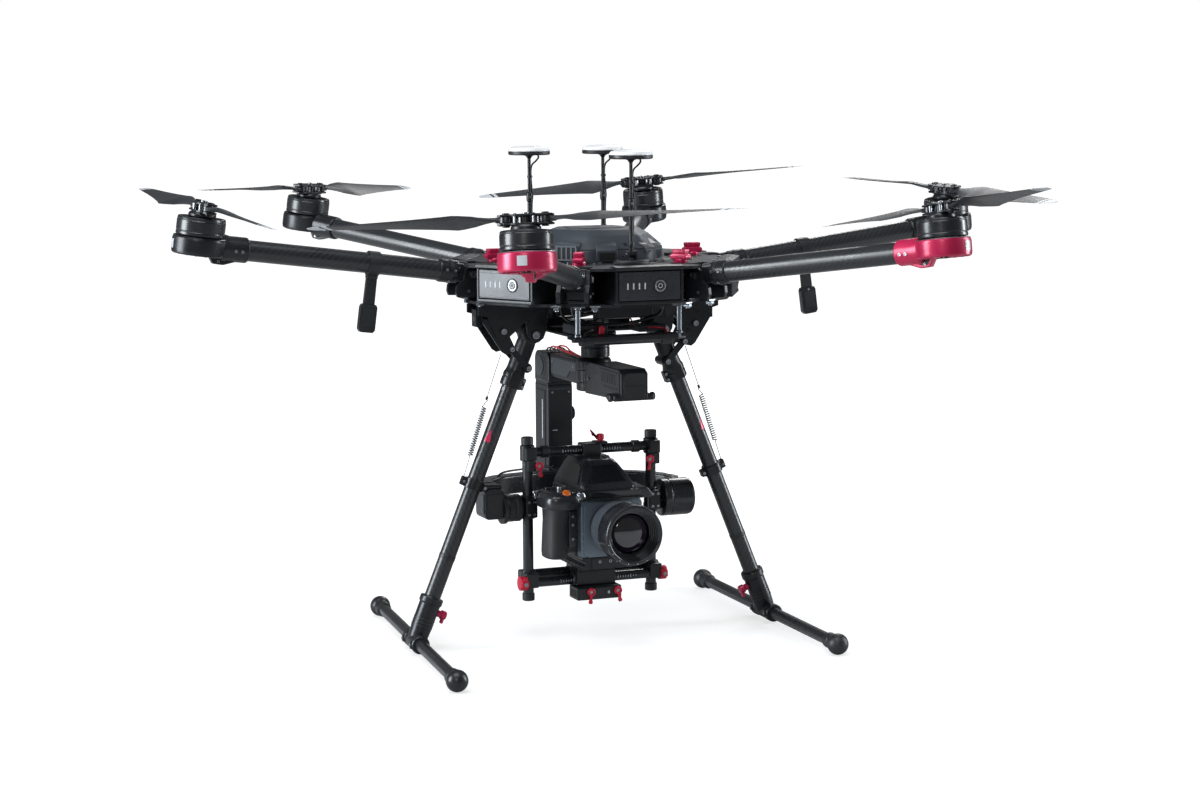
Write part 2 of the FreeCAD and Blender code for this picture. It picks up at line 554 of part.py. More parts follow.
# ---------------------------------------------------------------- gimbal arms
hub = join([cyl(25, (0, 6, -188), (0, 6, -141)), cyl(12, (0, 0, -150), (0, 0, -139.6))])
pack = profile([(-144, -186), (-10, -190), (-10, -150), (-30, -144), (-134, -144), (-144, -149)], -20, 20)
pack = rounded(pack, 3.0, lambda e: abs(e.Length - 40) > 1e-6 and e.Length > 60)
tray = box(-30, 30, -143, -112, -187, -178)
rear = box(-16, 16, 10, 150, -182, -148)
block = profile([(136, -192), (193, -192), (193, -156), (184, -146), (144, -146), (136, -154)], -20, 20)
post = box(-20, 20, 140, 194, -352, -190)
post = rounded(post, 3.0, upright)
roll_case = cyl(28, (0, 140, TILT_Z), (0, 186, TILT_Z))
cap = cyl(10, (20, 160, -238), (27, 160, -238))
pan = join([hub, pack, tray, rear, block, post, roll_case, cap])
# Four motor leads along the top of the rear beam, from the knuckle into the hub
pan_leads = []
for x, lift in ((-8, 0.0), (-3, 1.6), (3, 0.6), (8, 2.0)):
    points = [(x, 176, -152), (x * 1.1, 166, -143 + lift), (x * 1.2, 140, -141.5 + lift), (x * 0.7, 110, -145 + lift),
              (x * 0.5, 70, -146.2), (x * 0.5, 38, -146.2), (x * 0.5, 24, -146.6)]
    pan_leads.append(lead(points, 1.15, [pan] + pan_leads))
save("pan_arm", [pan] + pan_leads)

shaft = join([cyl(25, (0, 121, TILT_Z), (0, 139, TILT_Z)), cyl(12, (0, 110, TILT_Z), (0, 139.6, TILT_Z))])
yoke = plan([(-164, 16), (-164, 40), (-150, 74), (-122, 104), (-80, 122), (-30, 139), (30, 139), (80, 122),
             (118, 104), (140, 74), (150, 52), (134, 40), (124, 62), (104, 86), (70, 103), (30, 120),
             (-30, 120), (-70, 105), (-110, 86), (-134, 60), (-134, 16)], -344, -317)
left_case = rounded(box(-164, -134, 13, 52, -366, -322), 3.0, lambda e: abs(e.Length - 30) < 1e-6)
left_motor = cyl(19.5, (-136, TILT_Y, TILT_Z), (-107, TILT_Y, TILT_Z))
right_motor = rounded(cyl(27, (108, TILT_Y, TILT_Z), (156, TILT_Y, TILT_Z)), 3.0)
roll = join([shaft, yoke, left_case, left_motor, right_motor])
roll_lead = lead([(-14, 131, -322), (-26, 130, -314), (-66, 116, -313), (-108, 94, -313), (-124, 78, -322)], 1.6, [roll])
save("roll_arm", [roll, roll_lead])

# Tilt cage: two upright tubes, cross tubes, sleeves to the tilt motors and the camera clamps
uprights = []
for s in (-1, 1):
    x = s * CAGE_X
    stack = [ring(7.5, 6.0, (x, TILT_Y, -487), (x, TILT_Y, -254)),
             cyl(8.6, (x, TILT_Y, -488.5), (x, TILT_Y, -477)),
             cyl(8.6, (x, TILT_Y, -264), (x, TILT_Y, -252.5)),
             cyl(11.0, (x, TILT_Y, TILT_Z), (s * 106.4, TILT_Y, TILT_Z))]
    for z0, z1 in ((-285, -266), (TILT_Z - 15, TILT_Z + 15), (-468, -445)):
        stack.append(cyl(10.5, (x, TILT_Y, z0), (x, TILT_Y, z1)))
    stack.append(box(x - 9, x + 9, TILT_Y - 19, TILT_Y + 19, -469, -444))
    uprights.append(join(stack))
top_bar = join([
    cyl(7.0, (-CAGE_X, TILT_Y - 2, -275), (CAGE_X, TILT_Y - 2, -275)),
    box(-14, 14, 8, 38, -284, -268),
])
both_posts = Part.makeCompound(uprights)
tubes = [cyl(7.0, (-CAGE_X, TILT_Y + dy, z), (CAGE_X, TILT_Y + dy, z)) for dy, z in ((11, -453), (-11, -461))]
saddle = join([box(-30, 30, TILT_Y - 24, TILT_Y + 24, -469, -447), box(-28, 28, TILT_Y - 24, TILT_Y + 24, -447, -438)])
saddle = saddle.cut(Part.makeCompound(tubes))
foot = rounded(box(-34, 34, -12, 22, -488, -469), 2.0, upright)
dovetail = rounded(box(-38, 38, -42, 58, -438, -420), 2.0, upright)
tubes = [t.cut(both_posts) for t in tubes]
save("tilt_cage", uprights + [top_bar.cut(both_posts)] + tubes + [saddle, foot, dovetail])

# ---------------------------------------------------------------- camera
body = box(-46, 50, -38, 66, -420, -336)
body = rounded(body, 6.0, upright)
deck_top = profile([(-44, -336), (62, -336), (56, -322), (-48, -322)], -60, 48)
hump = Part.makeLoft([
    Part.makePolygon([V(*p) for p in ((-44, -54, -326), (40, -54, -326), (40, 58, -326), (-44, 58, -326),
                                      (-44, -54, -326))]),
    Part.makePolygon([V(*p) for p in ((-24, -16, -284), (20, -16, -284), (20, 48, -284), (-24, 48, -284),
                                      (-24, -16, -284))]),
], True, True)
grip = rounded(box(-94, -56, -62, -10, -416, -338), 11.0, upright)
shoulder = rounded(box(-97, -40, -66, 10, -345, -326), 12.0, upright)
front = box(-44, 50, -52, -36, -418, -334)
camera = join([body, deck_top, hump, grip, shoulder, front, box(-66, -40, -36, -14, -410, -338)])
camera = camera.cut(cyl(30.5, (0, -60, LENS_Z), (0, -44, LENS_Z)))
save("camera_body", [camera])

lens = join([
    cyl(30.0, (0, -44, LENS_Z), (0, -56, LENS_Z)),
    cone(33.0, 38.0, (0, -56, LENS_Z), (0, -74, LENS_Z)),
    cyl(38.0, (0, -74, LENS_Z), (0, -100, LENS_Z)),
    cone(38.0, 42.5, (0, -100, LENS_Z), (0, -110, LENS_Z)),
    cyl(42.5, (0, -110, LENS_Z), (0, -143, LENS_Z)),
])
hood = cone(27.0, 36.0, (0, -124, LENS_Z), (0, -143.5, LENS_Z))
lens = lens.cut(hood)
save("lens", [lens])

# ---------------------------------------------------------------- fasteners
screws = []
for h in BATTERY_HEADINGS:
    for s in (-1, 1):
        x, y = 118, s * 47
        upper = join([cyl(1.6, (x, y, -PLATE), (x, y, 1)), cyl(2.6, (x, y, 0), (x, y, 1.6))])
        lower = cyl(1.6, (x, y, -HUB_HEIGHT), (x, y, -HUB_HEIGHT + PLATE))
        screws += [at_heading(upper, h), at_heading(lower, h)]
save("plate_screws", screws)
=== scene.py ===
import bpy, bmesh, json, math
from mathutils import Matrix, Vector


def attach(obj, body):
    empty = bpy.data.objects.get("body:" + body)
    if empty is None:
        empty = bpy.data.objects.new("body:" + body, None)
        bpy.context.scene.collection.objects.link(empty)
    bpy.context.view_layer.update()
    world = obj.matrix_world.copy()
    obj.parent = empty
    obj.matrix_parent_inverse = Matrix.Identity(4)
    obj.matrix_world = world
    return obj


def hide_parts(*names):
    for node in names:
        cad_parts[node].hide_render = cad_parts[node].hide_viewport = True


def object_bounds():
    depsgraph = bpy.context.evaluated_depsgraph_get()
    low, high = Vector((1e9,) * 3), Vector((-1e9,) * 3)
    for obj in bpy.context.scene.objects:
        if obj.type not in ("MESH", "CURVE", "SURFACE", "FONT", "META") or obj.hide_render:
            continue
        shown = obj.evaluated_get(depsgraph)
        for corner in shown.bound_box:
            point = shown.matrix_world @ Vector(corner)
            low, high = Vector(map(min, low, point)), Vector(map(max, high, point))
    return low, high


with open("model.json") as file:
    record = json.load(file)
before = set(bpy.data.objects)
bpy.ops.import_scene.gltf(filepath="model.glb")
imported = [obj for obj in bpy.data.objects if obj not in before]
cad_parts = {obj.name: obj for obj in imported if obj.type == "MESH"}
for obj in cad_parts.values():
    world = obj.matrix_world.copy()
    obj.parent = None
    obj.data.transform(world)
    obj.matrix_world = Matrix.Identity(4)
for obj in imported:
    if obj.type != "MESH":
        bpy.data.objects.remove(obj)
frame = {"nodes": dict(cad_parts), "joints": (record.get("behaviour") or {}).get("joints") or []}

cad_lo, cad_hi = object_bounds()
scene = bpy.context.scene
JOINTS = {j["name"]: j for j in frame["joints"]}


# ------------------------------------------------------------ camera
CAMERA_AT = (-1.3525, -3.3812, 0.2555)
CAMERA_TURN = (-21.9, -7.16, -0.33)  # yaw, pitch and roll in degrees
SENSOR_MM, LENS_MM = 36, 77.48


def add_camera():
    """Put the camera at the standard view."""
    yaw, pitch, roll = (math.radians(v) for v in CAMERA_TURN)
    f = Vector((-math.sin(yaw) * math.cos(pitch), math.cos(yaw) * math.cos(pitch), math.sin(pitch)))
    r = f.cross(Vector((0, 0, 1))).normalized()
    u = r.cross(f)
    r2, u2 = r * math.cos(roll) + u * math.sin(roll), u * math.cos(roll) - r * math.sin(roll)
    data = bpy.data.cameras.new("Camera")
    data.sensor_width, data.lens, data.clip_end = SENSOR_MM, LENS_MM, 100
    cam = bpy.data.objects.new("Camera", data)
    m = Matrix((r2, u2, -f)).transposed().to_4x4()
    m.translation = Vector(CAMERA_AT)
    cam.matrix_world = m
    scene.collection.objects.link(cam)
    scene.camera = cam


add_camera()


# ------------------------------------------------------------ materials
class Nodes:
    """Short names for building a node tree."""
    def __init__(self, name):
        self.mat = bpy.data.materials.new(name)
        self.mat.use_nodes = True
        self.tree = self.mat.node_tree
        self.bsdf = self.tree.nodes["Principled BSDF"]

    def new(self, kind, **settings):
        n = self.tree.nodes.new("ShaderNode" + kind)
        for k, v in settings.items():
            setattr(n, k, v)
        return n

    def link(self, a, b):
        self.tree.links.new(a, b)

    def math(self, op, a, b=0.5, c=0.5):
        n = self.new("Math", operation=op)
        for i, v in enumerate((a, b, c)):
            if isinstance(v, (int, float)):
                n.inputs[i].default_value = v
            else:
                self.link(v, n.inputs[i])
        return n.outputs[0]

    def coords(self, kind="Object"):
        return self.new("TexCoord").outputs[kind]

    def noise(self, vector, scale, detail=3.0, rough=0.55):
        n = self.new("TexNoise")
        n.inputs["Scale"].default_value = scale
        n.inputs["Detail"].default_value = detail
        n.inputs["Roughness"].default_value = rough
        self.link(vector, n.inputs["Vector"])
        return n.outputs["Fac"]

    def remap(self, value, lo, hi, a=0.3, b=0.7):
        n = self.new("MapRange")
        self.link(value, n.inputs[0])
        for i, v in enumerate((a, b, lo, hi)):
            n.inputs[i + 1].default_value = v
        return n.outputs[0]

    def mix(self, fac, c1, c2):
        n = self.new("Mix", data_type="RGBA")
        if isinstance(fac, (int, float)):
            n.inputs[0].default_value = fac
        else:
            self.link(fac, n.inputs[0])
        for i, c in ((6, c1), (7, c2)):
            if isinstance(c, tuple):
                n.inputs[i].default_value = (*c, 1)
            else:
                self.link(c, n.inputs[i])
        return n.outputs[2]

    def bump(self, height, strength=0.1, distance=0.0005, edge=0.0):
        n = self.new("Bump")
        n.inputs["Strength"].default_value = strength
        n.inputs["Distance"].default_value = distance
        self.link(height, n.inputs["Height"])
        if edge:
            e = self.new("Bevel", samples=4)
            e.inputs["Radius"].default_value = edge
            self.link(e.outputs[0], n.inputs["Normal"])
        self.link(n.outputs[0], self.bsdf.inputs["Normal"])


def finish_of(name, colour, rough, metal=0.0, grain=900.0, bump=0.06, spread=0.25, coat=0.0, coat_rough=0.2,
              edge=0.0, wear=0.0, spec=0.5, dust=0.25):
    """Painted, moulded or anodised surface: fine grain, cloudy gloss, slight colour shift and worn edges."""
    n = Nodes(name)
    at = n.coords()
    fine, cloud = n.noise(at, grain, 2.0), n.noise(at, 14.0, 5.0)
    dark = tuple(c * (1 - spread) for c in colour)
    light = tuple(min(1.0, c * (1 + spread) + 0.002) for c in colour)
    col = n.mix(n.remap(cloud, 0, 1), dark, light)
    if wear:
        p = n.new("NewGeometry").outputs["Pointiness"]
        rub = n.math("MULTIPLY", n.remap(p, 0, 1, 0.53, 0.6), n.remap(n.noise(at, 120.0), 0, 1, 0.4, 0.65))
        col = n.mix(n.math("MULTIPLY", rub, wear), col, tuple(0.35 + 0.4 * c for c in colour))
    n.link(col, n.bsdf.inputs["Base Color"])
    rr = n.math("ADD", n.remap(cloud, rough * (1 - dust), rough * (1 + dust)), n.remap(fine, -0.03, 0.03))
    n.link(rr, n.bsdf.inputs["Roughness"])
    n.bsdf.inputs["Metallic"].default_value = metal
    n.bsdf.inputs["Specular IOR Level"].default_value = spec
    n.bsdf.inputs["Coat Weight"].default_value = coat
    n.bsdf.inputs["Coat Roughness"].default_value = coat_rough
    n.bump(fine, bump, 0.0003, edge)
    return n.mat


def weave(name, uv=True, pitch=0.0022, colour=(0.012, 0.0135, 0.0165), light=(0.020, 0.0225, 0.027),
          rough=0.30,
          edge=0.0, coat=0.3, spec=0.5):
    """Twill carbon under satin lacquer: tows cross over in steps, and each way lies at its own gloss."""
    n = Nodes(name)
    at = n.coords("UV" if uv else "Object")
    sep = n.new("SeparateXYZ")
    n.link(at, sep.inputs[0])
    a, b = (n.math("DIVIDE", sep.outputs[i], pitch) for i in (0, 1))
    fa, fb = n.math("FLOOR", a), n.math("FLOOR", b)
    step = n.math("FRACT", n.math("DIVIDE", n.math("ADD", fa, fb), 4.0))
    over = n.math("GREATER_THAN", step, 0.45)
    ra = n.math("ABSOLUTE", n.math("SUBTRACT", n.math("FRACT", a), 0.5))
    rb = n.math("ABSOLUTE", n.math("SUBTRACT", n.math("FRACT", b), 0.5))
    tow = n.math("ADD", n.math("MULTIPLY", over, ra), n.math("MULTIPLY", n.math("SUBTRACT", 1.0, over), rb))
    height = n.math("SUBTRACT", 0.5, tow)
    cloud = n.noise(n.coords(), 20.0, 4.0)
    col = n.mix(over, colour, light)
    col = n.mix(n.remap(tow, 0, 0.7, 0.3, 0.5), col, tuple(c * 0.5 for c in colour))
    n.link(col, n.bsdf.inputs["Base Color"])
    r = n.math("ADD", n.remap(cloud, rough - 0.05, rough + 0.07), n.math("MULTIPLY", over, 0.07))
    n.link(r, n.bsdf.inputs["Roughness"])
    n.bsdf.inputs["Coat Weight"].default_value = coat
    n.bsdf.inputs["Coat Roughness"].default_value = 0.24
    n.bsdf.inputs["Specular IOR Level"].default_value = spec
    n.bump(height, 0.05, 0.0002, edge)
    return n.mat


def striped_blade(name):
    """Satin blade; u runs from root to tip, v across the chord. Silver bands cross the tip."""
    n = Nodes(name)
    sep = n.new("SeparateXYZ")
    n.link(n.coords("UV"), sep.inputs[0])
    u, v = sep.outputs[0], sep.outputs[1]
    at = n.coords()
    cloud, fine = n.noise(at, 30.0, 4.0), n.noise(at, 1500.0, 2.0)
    base = n.mix(n.remap(cloud, 0, 1), (0.018, 0.020, 0.024), (0.030, 0.033, 0.039))
    slant = n.math("ADD", u, n.math("MULTIPLY", v, 0.02))
    band = n.math("GREATER_THAN", slant, 0.895)
    inner = n.math("FRACT", n.math("MULTIPLY", n.math("SUBTRACT", slant, 0.895), 26.0))
    gap = n.math("LESS_THAN", inner, 0.62)
    solid = n.math("GREATER_THAN", slant, 0.955)
    on = n.math("MULTIPLY", band, n.math("MAXIMUM", gap, solid))
    col = n.mix(on, base, (0.55, 0.57, 0.60))
    n.link(col, n.bsdf.inputs["Base Color"])
    n.link(n.math("ADD", n.remap(cloud, 0.42, 0.50), n.remap(fine, -0.03, 0.03)),
           n.bsdf.inputs["Roughness"])
    n.bsdf.inputs["Specular IOR Level"].default_value = 0.42
    n.bump(fine, 0.05, 0.0002)
    return n.mat


def ribbed_rubber(name, colour=(0.02, 0.021, 0.024), pitch=0.0016):
    """Ribs run along v; u counts around. The base colour is painted darker in the grooves and lighter on the
    crests: painted shade and highlight.
    """
    n = Nodes(name)
    sep = n.new("SeparateXYZ")
    n.link(n.coords("UV"), sep.inputs[0])
    w = n.math("SINE", n.math("MULTIPLY", sep.outputs[0], 2 * math.pi / pitch))
    cloud = n.noise(n.coords(), 40.0, 4.0)
    # Painted shade in the rib grooves and painted highlight on the crests
    n.link(n.mix(n.remap(w, 0, 1, -0.6, 0.6), tuple(c * 0.4 for c in colour),
                 tuple(c * 2.2 for c in colour)),
           n.bsdf.inputs["Base Color"])
    n.link(n.remap(cloud, 0.42, 0.58), n.bsdf.inputs["Roughness"])
    n.bump(w, 0.5, 0.0006)
    return n.mat


def coated_glass(name, tint, rim, rough=0.03):
    """Dark front element: deep colour head on, and toward the rim a painted reflection of the coating's
    purple in the base colour.
    """
    n = Nodes(name)
    lw = n.new("LayerWeight")
    lw.inputs["Blend"].default_value = 0.35
    cloud = n.noise(n.coords(), 60.0, 2.0)
    face = n.mix(n.remap(cloud, 0, 1), tint, tuple(c * 1.5 for c in tint))
    # Base colour turns to the coating's purple as the surface turns away: painted reflection
    n.link(n.mix(lw.outputs["Facing"], face, rim), n.bsdf.inputs["Base Color"])
    n.link(n.remap(cloud, rough, rough + 0.02), n.bsdf.inputs["Roughness"])
    n.bsdf.inputs["Coat Weight"].default_value = 1.0
    n.bsdf.inputs["Coat Roughness"].default_value = 0.02
    n.bsdf.inputs["Specular IOR Level"].default_value = 0.8
    return n.mat


BLACK = finish_of("BlackAnodised", (0.014, 0.0155, 0.019), 0.34, 0.35, 1600, 0.04, coat=0.1)
BLACK_CAD = finish_of("BlackAnodisedPlate", (0.014, 0.0155, 0.019), 0.34, 0.35, 1600, 0.04, edge=0.0006)
PLASTIC = finish_of("BlackMoulded", (0.013, 0.0145, 0.0175), 0.42, 0.0, 1100, 0.09)
PLASTIC_CAD = finish_of("BlackMouldedPlate", (0.013, 0.0145, 0.0175), 0.42, 0.0, 1100, 0.09, edge=0.0006)
SATIN = finish_of("SatinBlackPaint", (0.012, 0.0135, 0.017), 0.27, 0.0, 1800, 0.03, coat=0.25)
GLOSS = finish_of("GlossBlack", (0.007, 0.008, 0.010), 0.12, 0.0, 600, 0.01, coat=0.6, coat_rough=0.06)
# Near-black: painted shade in slots, vents, ports and the hollows of the motors, and the own colour of a few
# small dark parts (a cable, a crimp, a button bezel)
SHADE_AND_NEAR_BLACK = finish_of("NearBlackAndPaintedShade", (0.004, 0.004, 0.005), 0.6, 0.0, 900, 0.05)
CRIMSON = finish_of("CrimsonAnodised", (0.52, 0.010, 0.075), 0.33, 0.25, 1400, 0.05, 0.12, coat=0.3)
RED = finish_of("RedLever", (0.60, 0.012, 0.045), 0.36, 0.15, 1200, 0.05, 0.12)
RED_WIRE = finish_of("RedWire", (0.55, 0.02, 0.03), 0.4, 0.0, 1500, 0.04)
COVER = finish_of("CoverMoulded", (0.040, 0.048, 0.060), 0.46, 0.0, 1300, 0.10, 0.12, spec=0.4)
PACK = finish_of("BatterySatin", (0.028, 0.032, 0.039), 0.30, 0.1, 1700, 0.05, 0.12)
SILVER = finish_of("BrushedSteel", (0.36, 0.38, 0.41), 0.30, 1.0, 2400, 0.05, 0.10)
POST = finish_of("SatinSteelPost", (0.20, 0.22, 0.245), 0.36, 0.9, 2200, 0.05, 0.10)
WHITE = finish_of("WhiteMoulded", (0.80, 0.81, 0.82), 0.35, 0.0, 1200, 0.04, 0.03)
PALE = finish_of("PaleMark", (0.62, 0.64, 0.67), 0.5, 0.0, 900, 0.02, 0.05)
LED = finish_of("FrostedWindow", (0.55, 0.58, 0.62), 0.30, 0.0, 1800, 0.05, 0.06, coat=0.5)
COPPER = finish_of("CopperWinding", (0.42, 0.17, 0.06), 0.38, 1.0, 2600, 0.15)
BLUEGREY = finish_of("BlueGreyPlate", (0.150, 0.190, 0.235), 0.34, 0.25, 1500, 0.05, 0.08)
GREYPANEL = finish_of("GreyPanel", (0.036, 0.042, 0.050), 0.38, 0.2, 1500, 0.05, 0.12)
VENTGREY = finish_of("VentFrame", (0.13, 0.145, 0.165), 0.42, 0.1, 1500, 0.05, 0.10)
LEATHER = finish_of("GrainedRubber", (0.012, 0.013, 0.015), 0.50, 0.0, 2600, 0.45)
ORANGE = finish_of("OrangeButton", (0.56, 0.12, 0.012), 0.32, 0.0, 1200, 0.03, 0.06, coat=0.4)
GLASS = coated_glass("LensGlass", (0.003, 0.005, 0.006), (0.05, 0.015, 0.07))
WEAVE = weave("CarbonTube")
WEAVE_FLAT = weave("CarbonPlate", uv=False, rough=0.52, edge=0.0006, coat=0.0, spec=0.3)
BLADE = striped_blade("BladeSatin")
RIBS_FINE = ribbed_rubber("FineRibs", (0.035, 0.042, 0.052), 0.0028)


# ------------------------------------------------------------ mesh building, in millimetres
def basis(a, d, x=None):
    """Matrix whose z axis points along d from a, with x as near as it can be to the given direction."""
    z = Vector(d).normalized()
    x = Vector(x) if x is not None else (Vector((1, 0, 0)) if abs(z.x) < 0.9 else Vector((0, 1, 0)))
    y = z.cross(x).normalized()
    m = Matrix((y.cross(z), y, z)).transposed().to_4x4()
    m.translation = Vector(a)
    return m


def softened(prof, c):
    """Round the corners of a turned profile."""
    out = [Vector(prof[0])]
    for i in range(1, len(prof) - 1):
        p, a, b = Vector(prof[i]), Vector(prof[i - 1]), Vector(prof[i + 1])
        u, w = a - p, b - p
        if u.length < 1e-6 or w.length < 1e-6 or u.angle(w) > math.radians(155):
            out.append(p)
            continue
        k = min(c, u.length * 0.4, w.length * 0.4)
        q0, q1 = p + u.normalized() * k, p + w.normalized() * k
        out += [q0, (q0 + q1) / 4 + p / 2, q1]
    return out + [Vector(prof[-1])]


def curve_through(points, n=8):
    """Smooth line through the points."""
    p = [Vector(q) for q in points]
    if len(p) == 2:
        return p
    p = [2 * p[0] - p[1]] + p + [2 * p[-1] - p[-2]]
    out = []
    for i in range(1, len(p) - 2):
        for k in range(n):
            t = k / n
            a, b, c, d = p[i - 1:i + 3]
            out.append(0.5 * (2 * b + (c - a) * t + (2 * a - 5 * b + 4 * c - d) * t * t
                              + (3 * b - a - 3 * c + d) * t ** 3))
    return out + [p[-2]]


class Piece:
    """One object, gathered from turned, extruded, swept and bevelled parts. m picks the material."""
    def __init__(self, name, *mats, at=None):
        self.name, self.mats = name, mats
        self.verts, self.faces, self.slots, self.uvs = [], [], [], []
        self.M = at or Matrix.Identity(4)

    def put(self, verts, faces, m=0, uvs=None, M=None):
        """Add vertices and faces, moved by M and then by the piece's own frame."""
        k = len(self.verts)
        T = self.M @ M if M is not None else self.M
        self.verts += [T @ Vector(v) for v in verts]
        for i, f in enumerate(faces):
            self.faces.append([k + j for j in f])
            self.slots.append(m)
            self.uvs.append(uvs[i] if uvs else [(verts[j][0] * 1e-3, verts[j][1] * 1e-3) for j in f])

    def lathe(self, prof, a=(0, 0, 0), d=(0, 0, 1), m=0, seg=40, soft=0.5, M=None, span=None, caps=True):
        """Turn a profile of (radius, height) round the axis d through a; span limits it to part of a turn."""
        prof = [tuple(p) for p in prof]
        if span is None and caps:
            if prof[0][0] > 0:
                prof = [(0, prof[0][1])] + prof
            if prof[-1][0] > 0:
                prof = prof + [(0, prof[-1][1])]
        pts = softened(prof, soft) if soft else [Vector(p) for p in prof]
        B = basis(a, d)
        a0, a1 = span or (0, 2 * math.pi)
        closed = span is None
        cols = seg if closed else seg + 1
        verts, rows = [], []
        for p in pts:
            if p[0] < 1e-6:
                rows.append([len(verts)] * cols)
                verts.append((0, 0, p[1]))
            else:
                rows.append(list(range(len(verts), len(verts) + cols)))
                for i in range(cols):
                    t = a0 + (a1 - a0) * i / seg
                    verts.append((p[0] * math.cos(t), p[0] * math.sin(t), p[1]))
        faces, uvs, run = [], [], 0.0
        rmax = max(p[0] for p in pts)
        for r in range(len(pts) - 1):
            nxt = run + (pts[r + 1] - pts[r]).length * 1e-3
            for i in range(seg):
                j = (i + 1) % seg if closed else i + 1
                q = [rows[r][i], rows[r][j], rows[r + 1][j], rows[r + 1][i]]
                u0, u1 = (rmax * 1e-3 * (a1 - a0) * k / seg for k in (i, i + 1))
                tex = [(u0, run), (u1, run), (u1, nxt), (u0, nxt)]
                keep = [k for k in range(4) if q[k] not in q[:k]]
                if len(keep) > 2:
                    faces.append([q[k] for k in keep])
                    uvs.append([tex[k] for k in keep])
            run = nxt
        self.put(verts, faces, m, uvs, (M @ B) if M is not None else B)

    def from_bm(self, bm, m, M=None):
        """Add a bmesh and free it."""
        bm.verts.ensure_lookup_table()
        self.put([v.co.copy() for v in bm.verts], [[v.index for v in f.verts] for f in bm.faces], m, None,
                 M)
        bm.free()

    def box(self, x0, x1, y0, y1, z0, z1, b=0.8, m=0, n=2, M=None):
        """Block with edges bevelled by b."""
        bm = bmesh.new()
        bmesh.ops.create_cube(bm, size=1)
        for v in bm.verts:
            v.co = Vector(((x0 + x1) / 2 + v.co.x * (x1 - x0), (y0 + y1) / 2 + v.co.y * (y1 - y0),
                           (z0 + z1) / 2 + v.co.z * (z1 - z0)))
        if b:
            b = min(b, 0.45 * min(abs(x1 - x0), abs(y1 - y0), abs(z1 - z0)))
            bmesh.ops.bevel(bm, geom=list(bm.edges), offset=b, segments=n, profile=0.5, affect="EDGES",
                            clamp_overlap=True)
            bm.verts.index_update()
        self.from_bm(bm, m, M)

    def prism(self, pts, axis, a, b, bev=0.6, m=0, n=2, M=None, top=None):
        """Outline in the plane square to axis, from a to b along it. top is another outline at b."""
        def place(p, h):
            return {"z": (p[0], p[1], h), "y": (p[0], h, p[1]), "x": (h, p[0], p[1])}[axis]
        bm = bmesh.new()
        lo = [bm.verts.new(place(p, a)) for p in pts]
        hi = [bm.verts.new(place(p, b)) for p in (top or pts)]
        bm.faces.new(lo)
        bm.faces.new(hi[::-1])
        k = len(pts)
        for i in range(k):
            bm.faces.new((lo[i], hi[i], hi[(i + 1) % k], lo[(i + 1) % k]))
        bmesh.ops.recalc_face_normals(bm, faces=bm.faces)
        if bev:
            bmesh.ops.bevel(bm, geom=list(bm.edges), offset=bev, segments=n, profile=0.5, affect="EDGES",
                            clamp_overlap=True)
        bm.verts.index_update()
        self.from_bm(bm, m, M)

    def loft(self, loops, m=0, M=None, caps=True, uvs=None):
        """Skin over loops of equal count."""
        k = len(loops[0])
        verts = [p for loop in loops for p in loop]
        faces, tex = [], []
        for r in range(len(loops) - 1):
            for i in range(k):
                j = (i + 1) % k
                faces.append([r * k + i, r * k + j, (r + 1) * k + j, (r + 1) * k + i])
                if uvs:
                    tex.append([uvs(r, i), uvs(r, i + 1), uvs(r + 1, i + 1), uvs(r + 1, i)])
        if caps:
            for base, order in ((0, range(k)), ((len(loops) - 1) * k, range(k - 1, -1, -1))):
                faces.append([base + i for i in order])
                if uvs:
                    tex.append([uvs(base // k, i) for i in order])
        self.put(verts, faces, m, tex if uvs else None, M)

    def tube(self, points, r, m=0, seg=10, n=8, M=None, smooth=True):
        """Round tube along the points."""
        path = curve_through(points, n) if smooth else [Vector(p) for p in points]
        verts, faces, uvs = [], [], []
        t = (path[1] - path[0]).normalized()
        side = t.orthogonal().normalized()
        for i, p in enumerate(path):
            t = (path[min(i + 1, len(path) - 1)] - path[max(i - 1, 0)]).normalized()
            side = (side - t * side.dot(t)).normalized()
            up = t.cross(side)
            for k in range(seg):
                a = 2 * math.pi * k / seg
                verts.append(p + (side * math.cos(a) + up * math.sin(a)) * r)
        for i in range(len(path) - 1):
            for k in range(seg):
                j = (k + 1) % seg
                faces.append([i * seg + k, i * seg + j, (i + 1) * seg + j, (i + 1) * seg + k])
        faces += [list(range(seg))[::-1], [(len(path) - 1) * seg + k for k in range(seg)]]
        self.put(verts, faces, m, None, M)

    def flats(self, first, limit):
        """Cut flats square to the local z axis on everything added since vertex number first."""
        back = self.M.inverted()
        for i in range(first, len(self.verts)):
            q = back @ self.verts[i]
            if abs(q.z) > limit:
                q.z = math.copysign(limit, q.z)
                self.verts[i] = self.M @ q

    def bolt(self, p, d, r=3.0, h=1.6, m=0, M=None):
        """Cap head with a socket in it."""
        self.lathe([(0, h * 0.35), (r * 0.48, h * 0.35), (r * 0.48, h), (r, h), (r, -0.4)], p, d, m, 16,
                   0.25, M)

